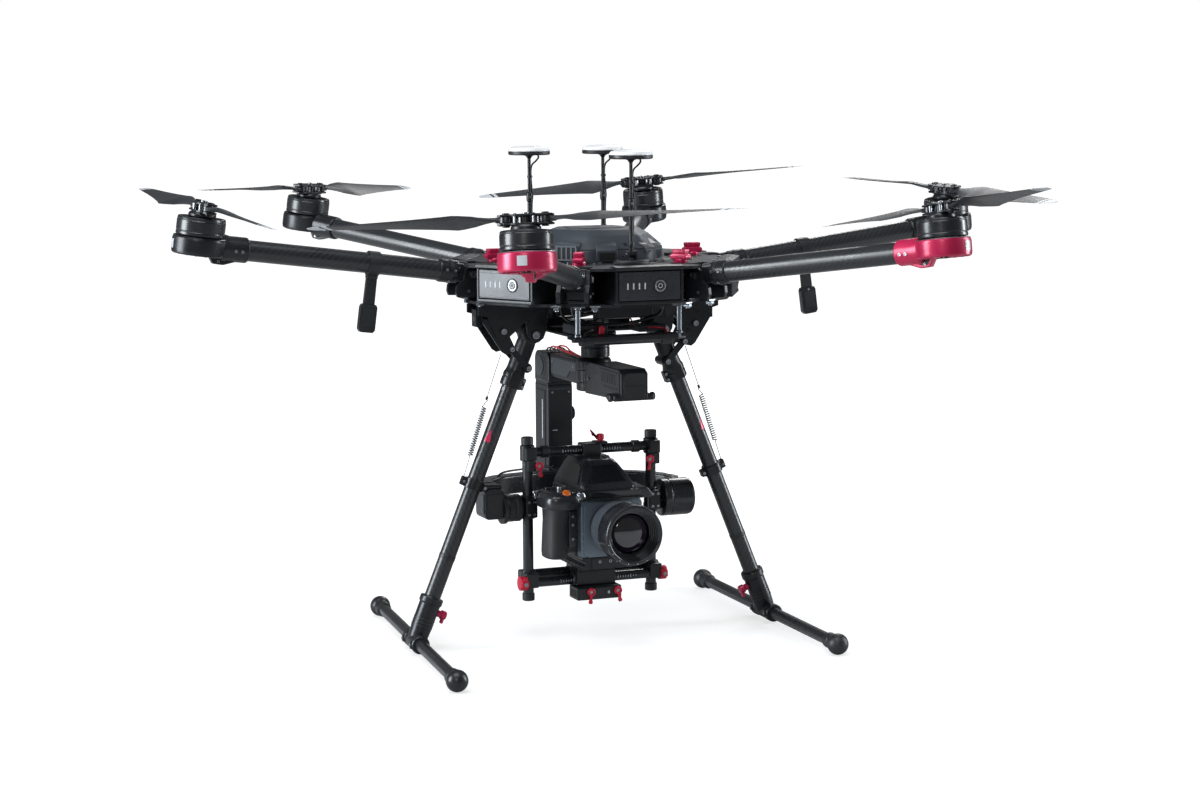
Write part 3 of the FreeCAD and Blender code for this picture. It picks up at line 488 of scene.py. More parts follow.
    def done(self, body, replaces=(), angle=38):
        """Make the object and hand it to its CAD body."""
        me = bpy.data.meshes.new(self.name)
        me.from_pydata([v * 1e-3 for v in self.verts], [], self.faces)
        layer = me.uv_layers.new(name="UVMap")
        i = 0
        for tex in self.uvs:
            for uv in tex:
                layer.data[i].uv = uv
                i += 1
        for mat in self.mats:
            me.materials.append(mat)
        me.polygons.foreach_set("material_index", self.slots)
        bm = bmesh.new()
        bm.from_mesh(me)
        bmesh.ops.recalc_face_normals(bm, faces=bm.faces)
        bm.to_mesh(me)
        bm.free()
        me.polygons.foreach_set("use_smooth", [True] * len(me.polygons))
        me.set_sharp_from_angle(angle=math.radians(angle))
        o = bpy.data.objects.new(self.name, me)
        scene.collection.objects.link(o)
        w = o.modifiers.new("Normals", "WEIGHTED_NORMAL")
        w.keep_sharp = True
        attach(o, body)
        if replaces:
            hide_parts(*([replaces] if isinstance(replaces, str) else replaces))
        return o


ORIGIN, DOWN, FRONT = (0, 0, 0), (0, 0, -1), (0, -1, 0)
EX, EY, EZ = (1, 0, 0), (0, 1, 0), (0, 0, 1)
HEX = (0, 60, 120, 180, 240, 300)  # headings of the six sides of the hub
SPRING_TURNS = 21
QUARTER = 1.5708  # radians, to four places


def turn_z(deg):
    """Rotation about the vertical."""
    return Matrix.Rotation(math.radians(deg), 4, "Z")


def sided(s, a, b):
    """Distances a and b on side s, lower first."""
    return sorted((s * a, s * b))


def heading(h):
    """Frame whose x axis points along a heading (0 = forward, -Y)."""
    return turn_z(h - 90)


ARMS = {"a": -30, "b": 30, "c": 90, "d": 150, "e": -150, "f": -90}
SWING = {"a": (-2.6, 2.6), "b": (-4.6, 4.6)}
SPIN = {"a": 1, "b": -1, "c": 1, "d": -1, "e": 1, "f": -1}


def jpos(name):
    """Joint position in millimetres."""
    return Vector(JOINTS[name]["pos_m"]) * 1000


def jaxis(name):
    """Unit direction of a joint."""
    return Vector(JOINTS[name]["axis"]).normalized()


ARM_AT, MOTOR_AT, REACH = {}, {}, {}
for n in ARMS:
    hub_end, up = jpos("arm_%s_fold" % n), jaxis("rotor_%s_spin" % n)
    tip = jpos("rotor_%s_spin" % n) - up * 26
    x = (tip - hub_end).normalized()
    REACH[n] = (tip - hub_end).length
    y = -jaxis("arm_%s_fold" % n)
    m = Matrix((x, y, x.cross(y))).transposed().to_4x4()
    m.translation = hub_end
    ARM_AT[n] = m
    m = Matrix((x, up.cross(x), up)).transposed().to_4x4()
    m.translation = tip
    MOTOR_AT[n] = m

# ------------------------------------------------------------ arms
for n in ARMS:
    L = REACH[n]
    p = Piece("arm_" + n, WEAVE, BLACK, SILVER, PLASTIC, at=ARM_AT[n])
    p.lathe([(14.25, 24), (14.25, L - 36)], ORIGIN, EX, 0, 48, 0)
    p.lathe([(11, 18), (15.2, 18), (16.2, 21), (16.2, 43), (15.4, 45.5), (14, 46)], ORIGIN, EX, 1, 48)
    p.lathe([(16.7, 27), (16.7, 31)], ORIGIN, EX, 3, 48, 0.4)
    p.lathe([(13, -15.4), (13, 15.4)], ORIGIN, EY, 1, 40, 1.0)
    p.box(2, 26, -13.4, 13.4, -12.6, 12.6, 3.5, 1)
    for s in (-1, 1):
        for x in (25, 37):
            p.bolt((x, s * 15.7, 2), (0, s, 0), 2.2, 1.4, 2)
        p.bolt((31, s * 9.5, -13.2), (0, s * 0.5, -1), 2.0, 1.4, 2)
    p.box(4, 22, -4, 4, 11.5, 15, 1.2, 3)
    p.done("arm_" + n, "arm_tube_" + n)

    # Motor mount: finned dish, clamp sleeve on the tube, lower keel and a frosted lamp window outside
    skin = CRIMSON if n in "ab" else BLACK
    p = Piece("mount_" + n, skin, SHADE_AND_NEAR_BLACK, LED, SILVER, at=MOTOR_AT[n])
    p.lathe([(12, -9.5), (30, -9.5), (33.5, -12), (35.2, -10.5), (36, -6), (36, 8), (35.2, 11), (33.8, 12),
             (32.2, 12), (31.6, 10.5), (31.6, -4), (10, -4)], m=0, seg=64, soft=0.7)
    p.lathe([(35.0, 11.4), (35.4, 11.9), (34.2, 12.6), (33.4, 12.2)], m=3 if n in "ab" else 0, seg=64,
            soft=0.2)
    for i in range(16):
        M = turn_z(22.5 * i + 5)
        p.box(15, 33, -1.1, 1.1, -12.2, -8.5, 0.4, 0, M=M)
        # Near-black strips between the fins: painted shade
        p.box(16, 30, 1.9, 6.2, -9.8, -9.3, 0, 1, M=M)
    # Near-black inner cylinders: painted shade in the hollow of the mount
    p.lathe([(14, -4), (14, 9)], m=1, seg=32)
    p.lathe([(8, -12.5), (8, -9)], m=1, seg=24)
    arm = MOTOR_AT[n].inverted() @ ARM_AT[n] @ Matrix.Translation((L, 0, 0))
    p.lathe([(14.3, -66), (16.2, -66), (17.2, -63.5), (17.2, -40), (18.6, -34), (18.6, -30), (12, -26)],
            (0, 0, 0), EX, 0, 48, 0.8, M=arm)
    p.prism([(-62, -13), (-34, -22.5), (-20, -22), (-12, -9), (-40, -6)], "y", -5.5, 5.5, 1.6, 0, M=arm)
    # Near-black inset on each face of the keel: painted shade
    p.prism([(-46, -14), (-30, -19), (-22, -18), (-18, -12), (-38, -12)], "y", -6.1, 6.1, 0.6, 1, M=arm)
    p.box(-44, -26, -14.5, 14.5, -12, 9.5, 3.0, 0, M=arm)
    for s in (-1, 1):
        p.bolt((-56, s * 16.6, -2), (0, s, 0), 2.3, 1.4, 3, M=arm)
        p.bolt((-47, s * 16.6, -2), (0, s, 0), 2.3, 1.4, 3, M=arm)
        p.bolt((-27, s * 5.4, -17.5), (0, s, 0), 2.1, 1.2, 3, M=arm)
    p.lathe([(36.3, -5.5), (36.3, 6.5)], m=2, seg=10, soft=0, span=(-0.17, 0.17))
    p.done("arm_" + n, "motor_mount_" + n)

    # Rotor: bell with spokes over the copper windings, shaft and the folding blade clamp
    p = Piece("bell_" + n, BLACK, SHADE_AND_NEAR_BLACK, COPPER, SILVER, SATIN, at=MOTOR_AT[n])
    p.lathe([(28.5, 14), (32, 14), (32.5, 15), (32.5, 18.2), (31.9, 18.8), (31.9, 19.6), (32.5, 20.2),
             (32.5, 33.5),
             (31.8, 34.2), (31.8, 34.8), (32.3, 35.4), (31.2, 38.2), (26.5, 38.2), (26.5, 35), (28.5, 34.4),
             (28.5, 14)], m=4, seg=64, soft=0.35, caps=False)
    p.lathe([(13, 34.5), (13, 38.6), (9, 39.4)], m=0, seg=40)
    for i in range(8):
        p.prism([(11, -2.2), (29, -4.0), (29, 4.0), (11, 2.2)], "z", 34.6, 38.0, 0.5, 0,
                M=turn_z(45 * i + 12))
    for i in range(12):
        p.box(16, 26.5, -2.6, 2.6, 17, 31, 1.6, 2, M=turn_z(30 * i))
    # Near-black inner drum and band behind the windings: painted shade inside the bell
    p.lathe([(15.5, 15), (15.5, 32.5)], m=1, seg=32)
    p.lathe([(27.8, 20), (27.8, 27)], m=1, seg=40)
    p.lathe([(8, 10.5), (8, 44), (6.5, 46), (6.5, 58)], m=0, seg=32)
    p.lathe([(3.6, 58), (3.6, 60.2), (2.0, 60.6)], m=3, seg=24, soft=0.3)
    axis_x = MOTOR_AT[n].inverted().to_3x3() @ (jpos("blade_%s1_fold" % n) - jpos("blade_%s2_fold" % n))
    C = turn_z(math.degrees(math.atan2(axis_x.y, axis_x.x)))
    shape = [(-34, -6.5), (-29, -9.5), (-17, -9.5), (-10, -12.5), (10, -12.5), (17, -9.5), (29, -9.5),
             (34, -6.5),
             (34, 6.5), (29, 9.5), (17, 9.5), (10, 12.5), (-10, 12.5), (-17, 9.5), (-29, 9.5), (-34, 6.5)]
    for z in (45, 55.6):
        p.prism(shape, "z", z, z + 2.4, 0.5, 0, M=C)
    for s in (-1, 1):
        p.bolt((s * 24, 0, 58), EZ, 4.6, 2.0, 0, M=C)
        p.bolt((s * 24, 0, 45), DOWN, 4.6, 2.0, 0, M=C)
        for t in (-1, 1):
            p.lathe([(1.9, 47), (1.9, 56)], (s * 11.5, t * 8, 0), m=3, seg=12, soft=0.2, M=C)
            p.bolt((s * 11.5, t * 8, 58), EZ, 1.9, 1.0, 0, M=C)
    p.lathe([(17, 38), (18.5, 39), (18.5, 42.4), (16.5, 45)], m=0, seg=40, soft=0.6)
    p.done("rotor_" + n, "rotor_" + n)

# ------------------------------------------------------------ blades
STATIONS = ((9, 12, 0.0, 4, 6.0), (14, 14, 0.3, 4, 5.4), (26, 21, 1.6, 11, 5.0), (40, 32, 3.6, 17, 4.9),
            (56, 44, 7.4, 17, 4.4),
            (64, 48.5, 9.2, 16.5, 4.1), (80, 45, 6.8, 15, 3.6), (120, 38, 3.5, 12, 3.0),
            (170, 30, 0.5, 9, 2.3),
            (215, 23.5, -1.5, 7, 1.7), (233, 19.5, -2.4, 6, 1.4), (240, 13.5, -3.2, 6, 1.1),
            (242.6, 6, -3.8, 6, 0.8))
BLADE_LENGTH = STATIONS[-1][0]


def blade_loops():
    """Cross-sections of one blade, with the share of its length at each."""
    loops, run = [], []
    outline = ((-0.5, 0.0), (-0.485, 0.30), (-0.44, 0.56), (-0.34, 0.82), (-0.2, 0.98), (-0.02, 1.0),
               (0.16, 0.86),
               (0.34, 0.52), (0.46, 0.2), (0.5, 0.09), (0.5, -0.09), (0.44, -0.16), (0.3, -0.28),
               (0.1, -0.42),
               (-0.12, -0.52), (-0.3, -0.54), (-0.42, -0.44), (-0.485, -0.22))
    for i in range(len(STATIONS) - 1):
        a, b = STATIONS[i], STATIONS[i + 1]
        steps = max(1, round((b[0] - a[0]) / 7))
        for k in range(steps + (i == len(STATIONS) - 2)):
            t = k / steps
            x, chord, off, pitch, thick = (p + (q - p) * t for p, q in zip(a, b))
            c, s = math.cos(math.radians(pitch)), math.sin(math.radians(pitch))
            loops.append([(x, off + u * chord * c + w * thick * 0.66 * s,
                           -u * chord * s + w * thick * 0.66 * c)
                          for u, w in outline])
            run.append(x / BLADE_LENGTH)
    return loops, run, outline


LOOPS, RUN, SECTION = blade_loops()
for n in ARMS:
    up = jaxis("rotor_%s_spin" % n)
    centre = (jpos("blade_%s1_fold" % n) + jpos("blade_%s2_fold" % n)) / 2
    for i in (1, 2):
        at = jpos("blade_%s%d_fold" % (n, i))
        out = (at - centre).normalized()
        if n in SWING:
            out = Matrix.Rotation(math.radians(SWING[n][i - 1]), 3, up) @ out
        M = Matrix((out, up.cross(out), up)).transposed().to_4x4()
        M.translation = at
        if SPIN[n] > 0:
            M = M @ Matrix.Scale(-1, 4, (0, 1, 0))
        p = Piece("blade_%s%d_skin" % (n, i), BLADE, SATIN, SILVER, at=M)
        p.loft(LOOPS, 0, uvs=lambda r, k: (RUN[min(r, len(RUN) - 1)], SECTION[k % len(SECTION)][0] + 0.5))
        p.lathe([(8.5, -3.6), (8.5, 3.6)], m=1, seg=32, soft=0.8)
        p.box(0, 13, -5.6, 5.6, -2.9, 2.9, 1.2, 1)
        p.lathe([(5.2, -3.9), (5.2, 3.9)], m=2, seg=20, soft=0.3)
        p.done("blade_%s%d" % (n, i), "blade_%s%d" % (n, i), angle=50)

# ------------------------------------------------------------ hub
for i, h in enumerate(HEX):
    p = Piece("battery_%d" % (i + 1), PACK, SHADE_AND_NEAR_BLACK, PALE, SILVER, BLACK, at=heading(h))
    p.box(96, 197.4, -43.8, 43.8, -43.9, -6.1, 2.0, 4)
    p.prism([(-44.5, -44.5), (44.5, -44.5), (44.5, -5.5), (-44.5, -5.5)], "x", 196.0, 199.0, 1.2, 0)
    p.prism([(-42.6, -42.6), (42.6, -42.6), (42.6, -40.2), (-42.6, -40.2)], "x", 198.6, 199.3, 0.3, 0)
    p.prism([(-42.6, -9.8), (42.6, -9.8), (42.6, -7.4), (-42.6, -7.4)], "x", 198.6, 199.3, 0.3, 0)
    p.lathe([(9.6, -1.0), (9.6, 0.5), (8.2, 0.5), (8.2, -0.6)], (199, 15, -25), EX, 1, 40, 0.2)
    p.lathe([(8.0, -1.0), (8.0, 0.7), (7.0, 1.0), (6.6, 0.7)], (199, 15, -25), EX, 3, 40, 0.2)
    p.lathe([(6.6, -0.5), (6.6, 0.55), (5.4, 0.75)], (199, 15, -25), EX, 0, 36, 0.2)
    p.lathe([(3.2, 0.6), (3.2, 0.9), (2.4, 0.9), (2.4, 0.7)], (199, 15, -25), EX, 2, 24, 0)
    for k in range(4):
        y = -7 - k * 8.4
        p.box(198.6, 199.35, y - 0.95, y + 0.95, -29, -20.5, 0.2, 2, n=1)
    p.done("frame", "batteries")

    # Dark mouth of the bay around each pack
    p = Piece("bay_mouth_%d" % (i + 1), BLACK, PLASTIC, at=heading(h))
    for s in (-1, 1):
        p.box(128, 198.5, *sided(s, 45.2, 49.5), -49.6, -4.2, 1.2, 0)
    p.box(140, 199.5, -48, 48, -49.8, -45.4, 1.0, 0)
    p.prism([(150, -5.0), (197, -5.0), (200.5, -3.2), (200.5, 1.2), (190, 2.4), (176, 0.4)], "y", -50, 50,
            0.7, 1)
    p.done("frame")


def facet(apothem, corner, z):
    """Twelve-cornered loop of the cover at one height."""
    c, s = math.cos(math.radians(30)), 0.5
    reach = (corner - apothem * c) / s
    loop = []
    for h in HEX:
        t = math.radians(h)
        for k in (-reach, reach):
            loop.append((apothem * math.sin(t) + k * math.cos(t), -apothem * math.cos(t) + k * math.sin(t),
                         z))
    return loop


p = Piece("cover_shell", COVER, SHADE_AND_NEAR_BLACK, GREYPANEL, SILVER, VENTGREY, PLASTIC)
levels = [(92, 99, 0.2), (91.8, 98.8, 5), (91, 98, 15.6), (90.2, 97.2, 16.6), (89.0, 96.2, 16.6),
          (89.0, 96, 17.6),
          (90.0, 96.8, 18.2), (71.5, 79, 34.4), (70, 77, 35.4), (58.5, 64, 42.4), (56.5, 61.5, 43.0),
          (40, 44, 43.4)]
p.loft([facet(*v) for v in levels], 0)
p.prism([(-44, -8), (-30, -30), (30, -30), (44, -8), (36, 26), (-36, 26)], "z", 42.8, 44.6, 0.8, 0)
V = heading(-45)
p.prism([(60, 1), (98, 1), (98, 24), (96, 26), (66, 30), (60, 30)], "y", -18, 18, 1.4, 0, M=V)
# Near-black panel behind the vent bars: painted shade inside the vent
p.box(97.0, 98.4, -14.6, 14.6, 3.4, 21.6, 0.3, 1, M=V)
for k in range(5):
    p.box(96.8, 99.2, -15.4 + 7.1 * k, -13.0 + 7.1 * k, 2.8, 22.6, 0.5, 4, M=V)
for z in (2.4, 20.8):
    p.box(96.8, 99.2, -15.4, 15.4, z, z + 2.2, 0.5, 4, M=V)
for h, w in ((-12, 15), (135, 17.5), (100, 13)):
    V = heading(h)
    p.prism([(60, 1), (99, 1), (99, 17), (92, 23), (66, 32), (60, 30)], "y", -w, w, 2.0, 0, M=V)
    p.box(98.6, 99.5, 4 - w, w - 4, 4, 14, 0.4, 1, M=V)
V = heading(38)
p.prism([(60, 1), (95, 1), (98, 16), (90, 24), (66, 33)], "y", -26, 20, 1.6, 2, M=V)
for h in HEX:
    p.bolt((84, 12, 24.0), (0.66, 0, 0.75), 2.3, 1.2, 5, M=heading(h))
p.done("frame", "centre_cover")

for n, h in ARMS.items():
    p = Piece("knob_" + n, CRIMSON, SHADE_AND_NEAR_BLACK, SILVER, at=heading(h))
    p.lathe([(2.8, -11), (2.8, -1), (9.5, -0.2), (9.5, 3.5), (7.5, 5.2)], (150, 0, 0.2), EZ, 0, 32)
    p.prism([(137, 4), (163, 4), (164, 9.5), (161, 11.5), (139, 11.5), (136, 9.5)], "y", -6.8, 6.8, 1.4, 0)
    p.prism([(139.5, 11), (160.5, 11), (161.5, 17.6), (138.5, 17.6)], "y", -5.4, 5.4, 1.0, 0)
    for k in range(8):
        x = 140.6 + 2.7 * k
        p.box(x - 0.5, x + 0.5, -5.9, 5.9, 12, 18.1, 0.35, 0, n=1)
    p.lathe([(2.4, 0), (2.4, 0.5)], (150, 0, 17.4), EZ, 2, 16, 0.1)
    p.done("frame", "lock_knobs")

    # Fold-pin heads, clamp screws, damper blocks and the motor leads that end in them
    p = Piece("yoke_trim_" + n, SILVER, PLASTIC, PALE, BLACK, POST, at=heading(h))
    for s in (-1, 1):
        p.bolt((188, s * 24.2, -14.9), (0, s, 0), 5.4, 1.4, 0)
        for x, z in ((172, -14), (172, -36), (196, -38)):
            p.bolt((x, s * 21.8, z), (0, s, 0), 2.3, 1.4, 4)
    p.box(158, 171, -15, 15, -46, -33, 1.5, 1)
    p.box(160, 174, -12, 12, -49.8, -45.5, 1.0, 3)
    for y in (-8.5, 8.5):
        p.tube([(150, y, -44), (156, y * 1.05, -43.8), (163, y * 1.1, -43.5)], 1.3, 1, 8)
    p.done("frame")

# Screws, ports and trim on the plates, with a bright rail each side of the arm on the lower plate's corners
p = Piece("hub_trim", SILVER, PLASTIC, PALE, SHADE_AND_NEAR_BLACK, BLACK, POST)
for h in HEX:
    V = heading(h)
    for s in (-1, 1):
        for x, y in ((172, 38), (140, 30), (102, 34)):
            p.bolt((x, s * y, 0.0), EZ, 2.4, 1.3, 5, M=V)
            p.bolt((x, s * y, -54.0), DOWN, 2.4, 1.3, 4, M=V)
    p.box(112, 130, -17, -1, 0.1, 3.6, 0.9, 1, M=V)
for h in ARMS.values():
    V = heading(h)
    p.box(110, 128, -9, 9, -4, 4.4, 1.2, 1, M=V)
    # Near-black patch on top of each block: painted shade in its port
    p.box(113, 125, -6, 6, 4.2, 4.9, 0.3, 3, M=V)
    for s in (-1, 1):
        p.box(181.5, 184.6, *sided(s, 20, 34), -53.6, -51.4, 0.5, 0, M=V)
        p.box(176, 186, *sided(s, 22, 30), -58.5, -53.8, 1.2, 5, M=V)
        p.bolt((181, s * 26, -58.5), DOWN, 2.6, 1.4, 0, M=V)
    for s in (-1, 1):
        p.lathe([(3.4, -50), (3.4, -47), (2.6, -46), (2.6, -8), (3.4, -7), (3.4, -4)], (136, s * 12, 0),
                m=4, seg=16,
                soft=0.2, M=V)
p.done("frame")

# ------------------------------------------------------------ receiver masts
MASTS = {"front": (0, -134), "rear_left": (-57, 109), "rear_right": (57, 109)}
for name, (x, y) in MASTS.items():
    p = Piece("receiver_" + name, WHITE, PLASTIC, BLACK, SILVER, at=Matrix.Translation((x, y, 0)))
    p.lathe([(4.3, -4.2), (4.3, 4.2)], (0, 0, 13), EX, 2, 24, 0.6)
    p.lathe([(3.0, 13), (3.0, 24), (3.9, 25), (3.9, 29), (3.0, 30), (3.0, 76), (4.1, 77), (4.4, 80),
             (4.4, 87),
             (3.6, 89), (2.4, 90), (2.4, 138), (4.5, 141), (9, 143.4)], m=2, seg=24, soft=0.3)
    p.bolt((0, -4.2, 83), FRONT, 1.8, 1.2, 3)
    p.lathe([(9, 143), (28.6, 143.2), (30, 144.4), (30, 148.2), (29.2, 148.8)], m=1, seg=64, soft=0.4)
    p.lathe([(29.2, 148.4), (30, 149.0), (29.7, 150.6), (27.5, 153.4), (22, 155.1), (12, 155.9),
             (4, 156.1), (0, 156.1)],
            m=0, seg=64, soft=0.3)
    p.tube([(14, 2, 143.4), (15, 2, 139), (11, 2.5, 134), (5.5, 2.6, 129), (3.3, 2, 121), (3.2, 1, 106),
            (4.4, 1, 92),
            (5.2, 1, 84), (4.2, 1, 74), (3.8, 1.5, 50), (4.0, 2, 30), (4.4, 3, 22)], 1.25, 1, 10)
    for z in (112, 62, 40):
        p.lathe([(3.9, -1.6), (3.9, 1.6)], (1.0, 0.5, z), EZ, 1, 20, 0.4)
    p.done("mast_" + name, "mast_" + name)

p = Piece("mast_base_trim", PLASTIC, SILVER)
for name, (x, y) in MASTS.items():
    M = Matrix.Translation((x, y, 0))
    s = -1 if y < 0 else 1
    for u in (-1, 1):
        p.bolt((u * 7.2, 0, 13), (u, 0, 0), 2.9, 1.5, 1, M=M)
        p.box(*sided(u, 7.4, 11.5), -5, 5, 0.2, 4.2, 1.0, 0, M=M)
        p.bolt((u * 9.5, 0, 4.2), EZ, 1.7, 1.0, 1, M=M)
    p.tube([(4.4, 4.0, 16), (9, 4 - s * 6, 10), (10, -s * 14, 6), (6, -s * 28, 5), (4, -s * 40, 9)], 1.3,
           0, 8, M=M)
# Moulded oval shroud round the front mast's foot
loops = []
for k, z in ((1.0, 0.2), (1.0, 3.0), (0.94, 5.0), (0.80, 6.2), (0.76, 5.6), (0.74, 1.0)):
    loops.append([(27 * k * math.cos(a), MASTS["front"][1] + 15 * k * math.sin(a), z) for a in
                  (2 * math.pi * i / 40 for i in range(40))])
p.loft(loops, 0)
p.done("frame")

# ------------------------------------------------------------ landing gear
GEAR_Y = 4.0
PIV = Vector((jpos("left_gear").x, jpos("left_gear").z))
SKID_C = Vector((-271.0, -528.0))
KNEE_X, KNEE_Z = -131.4, -122.0
LEG = (SKID_C - PIV).length
UX, UZ = (SKID_C - PIV) / LEG
for side in ("left", "right"):
    mirror = Matrix.Scale(1 if side == "left" else -1, 4, (1, 0, 0))
    # Leg frame: x down the leg, y across it outward, z = row y
    m = Matrix(((UX, UZ, 0, PIV.x), (0, 0, 1, GEAR_Y), (UZ, -UX, 0, PIV.y), (0, 0, 0, 1)))
    LEG_AT = mirror @ m
    p = Piece("leg_" + side, WEAVE, BLACK, SILVER, PALE, CRIMSON, PLASTIC, at=LEG_AT)
    p.lathe([(14.0, -14.2), (14.0, 14.2)], ORIGIN, EZ, 1, 48, 1.4)
    k = len(p.verts)
    p.lathe([(11, 0), (13.0, 2), (13.2, 12), (13.5, 16), (13.5, 52), (14.2, 58), (15.5, 61), (15.5, 66.4),
             (14.9, 67),
             (14.9, 68), (15.5, 68.6), (15.5, 78), (14.6, 80), (11.6, 80.4)], ORIGIN, EX, 1, 56, 0.5)
    p.flats(k, 13.6)
    p.box(62, 79, -18.5, -13, -6, 6, 1.2, 1)
    p.bolt((66, -15.8, -6), DOWN, 2.2, 1.5, 2)
    p.bolt((75, -15.8, -6), DOWN, 2.2, 1.5, 2)
    p.lathe([(11.5, 78), (11.5, LEG - 14)], ORIGIN, EX, 0, 48, 0)
    lx, ly = jpos("left_link_pivot").x - PIV.x, jpos("left_link_pivot").z - PIV.y
    ls, ld = lx * UX + ly * UZ, lx * UZ - ly * UX
    p.lathe([(7.0, -12.8), (7.0, 12.8)], (ls, ld, 0), EZ, 1, 32, 0.8)
    p.box(ls - 16, ls + 16, min(ld * 0.7, 0), max(ld * 0.7, 0), -12, 12, 3, 1)
    for t in (-0.5, 2.4):
        for w in (-0.12, 0.12):
            p.lathe([(11.62, 83.5), (11.62, 88)], ORIGIN, EX, 3, 3, 0, span=(t + w - 0.05, t + w + 0.05))
    # Triangular red flag wrapped on the tube
    rows = []
    for k in range(7):
        f = k / 6
        rows.append((146 + 17 * f, 0.06 + 0.36 * f))
    verts, faces = [], []
    for s, half in rows:
        for q in range(5):
            a = -2.25 + half * (q / 2 - 1)
            verts.append((s, 11.75 * math.cos(a) * -1, 11.75 * math.sin(a)))
    for k in range(6):
        for q in range(4):
            faces.append([k * 5 + q, k * 5 + q + 1, (k + 1) * 5 + q + 1, (k + 1) * 5 + q])
    p.put(verts, faces, 4)
    # Spring strap round the tube
    p.lathe([(11.4, 218), (14.2, 218.6), (14.2, 232.4), (11.4, 233)], ORIGIN, EX, 1, 48, 0.5)
    p.box(219, 232, 11, 20.5, -4.5, 4.5, 1.5, 1)
    p.box(220, 231, -19, -12, -5.5, 5.5, 1.5, 1)
    p.bolt((225.5, -15.8, -5.5), DOWN, 2.3, 1.5, 2)
    p.bolt((226, 17.2, -4.5), DOWN, 2.0, 1.4, 2)
    p.lathe([(11.55, 330), (11.9, 331), (11.9, 336), (11.55, 337)], ORIGIN, EX, 5, 48, 0)
    p.done(side + "_leg", side + "_leg")

    # Return spring with its hooks, crimp and pull wire
    p = Piece("spring_" + side, POST, POST, SHADE_AND_NEAR_BLACK, at=LEG_AT)
    a, b = Vector((119, 25.2, 0)), Vector((189, 20.3, 0))
    d = (b - a).normalized()
    e = Vector((-d.y, d.x, 0))
    pts = []
    for k in range(SPRING_TURNS * 12 + 1):
        t = k / (SPRING_TURNS * 12)
        q = 2 * math.pi * SPRING_TURNS * t
        pts.append(a + (b - a) * t + (e * math.cos(q) + Vector((0, 0, 1)) * math.sin(q)) * 3.3)
    p.tube(pts, 0.85, 0, 6, smooth=False)
    p.tube([a + e * 3.3, a - d * 3 + e * 1.5, a - d * 7, a - d * 9.5 - e * 1.8, a - d * 11], 0.62, 0, 6)
    p.tube([b + e * 3.3, b + d * 3, b + d * 22, (221, 17.9, 0)], 0.62, 0, 6)
    p.tube([(221, 17.9, 0), (224, 19.8, 0), (228, 19.2, 0), (229, 16.5, 0), (226, 14.6, 0)], 0.7, 0, 6)
    p.lathe([(1.8, 0), (1.8, 5)], (103.5, 26.4, 0), (1, -0.04, 0), 2, 16, 0.3)
    p.tube([(42, 29.2, 0), (72, 27.9, 0), (104, 26.4, 0)], 0.55, 1, 6, smooth=False)
    p.done(side + "_leg")

    # Skid: long tube with rubber bulbs, and the tee on the foot of the leg
    toe = -5.7 if side == "left" else -2.5
    SK = Matrix.Translation((SKID_C.x * (1 if side == "left" else -1), GEAR_Y, SKID_C.y)) @ turn_z(toe)
    p = Piece("skid_" + side, SATIN, PLASTIC, BLACK, CRIMSON, SILVER)
    p.lathe([(8.5, -240), (8.5, 240)], ORIGIN, EY, 0, 40, 0, M=SK)
    for s in (-1, 1):
        prof = [(8.6, 222), (10.4, 223), (11.2, 225), (11.2, 236), (10.6, 237), (10.6, 238.4)]
        for k in range(13):
            t = math.radians(-42 + 132 * k / 12)
            prof.append((max(0.0, 15 * math.cos(t)), 252.5 + 15 * math.sin(t)))
        p.lathe(prof[:-1] + [(0, 267.5)], ORIGIN, (0, s, 0), 1, 48, 0.25, M=SK)
    p.lathe([(8.6, -32), (11.6, -32), (13, -30), (13, -20), (12.2, -19), (12.2, 19), (13, 20), (13, 30),
             (11.6, 32),
             (8.6, 32)], ORIGIN, EY, 2, 48, 0.4, M=SK)
    for y in (-25, 25):
        p.box(-14.5, -9, y - 4, y + 4, -5, 5, 1.2, 2, M=SK)
        p.bolt((-14.5, y, 0), (-1, 0, 0), 2.0, 1.2, 4, M=SK)
    p.lathe([(11.6, LEG - 66), (15.6, LEG - 66), (16.6, LEG - 64), (16.6, LEG - 57), (15.0, LEG - 55),
             (15.0, LEG - 24),
             (14.0, LEG - 8), (12, LEG)], ORIGIN, EX, 2, 48, 0.6, M=LEG_AT)
    for k in range(3):
        p.lathe([(15.3, LEG - 34 + 5 * k), (15.3, LEG - 32 + 5 * k)], ORIGIN, EX, 1, 48, 0.3, M=LEG_AT)
    M = LEG_AT @ Matrix.Translation((LEG - 46, -14, 0))
    p.lathe([(4.8, 0), (4.8, 6), (6.4, 7), (6.4, 13), (5.2, 14.5)], ORIGIN, FRONT, 3, 28, 0.5, M=M)
    p.box(-3.4, 12, -13.5, -9, -3.2, 3.2, 1.3, 3, M=M)
    p.done(side + "_leg", side + "_skid")

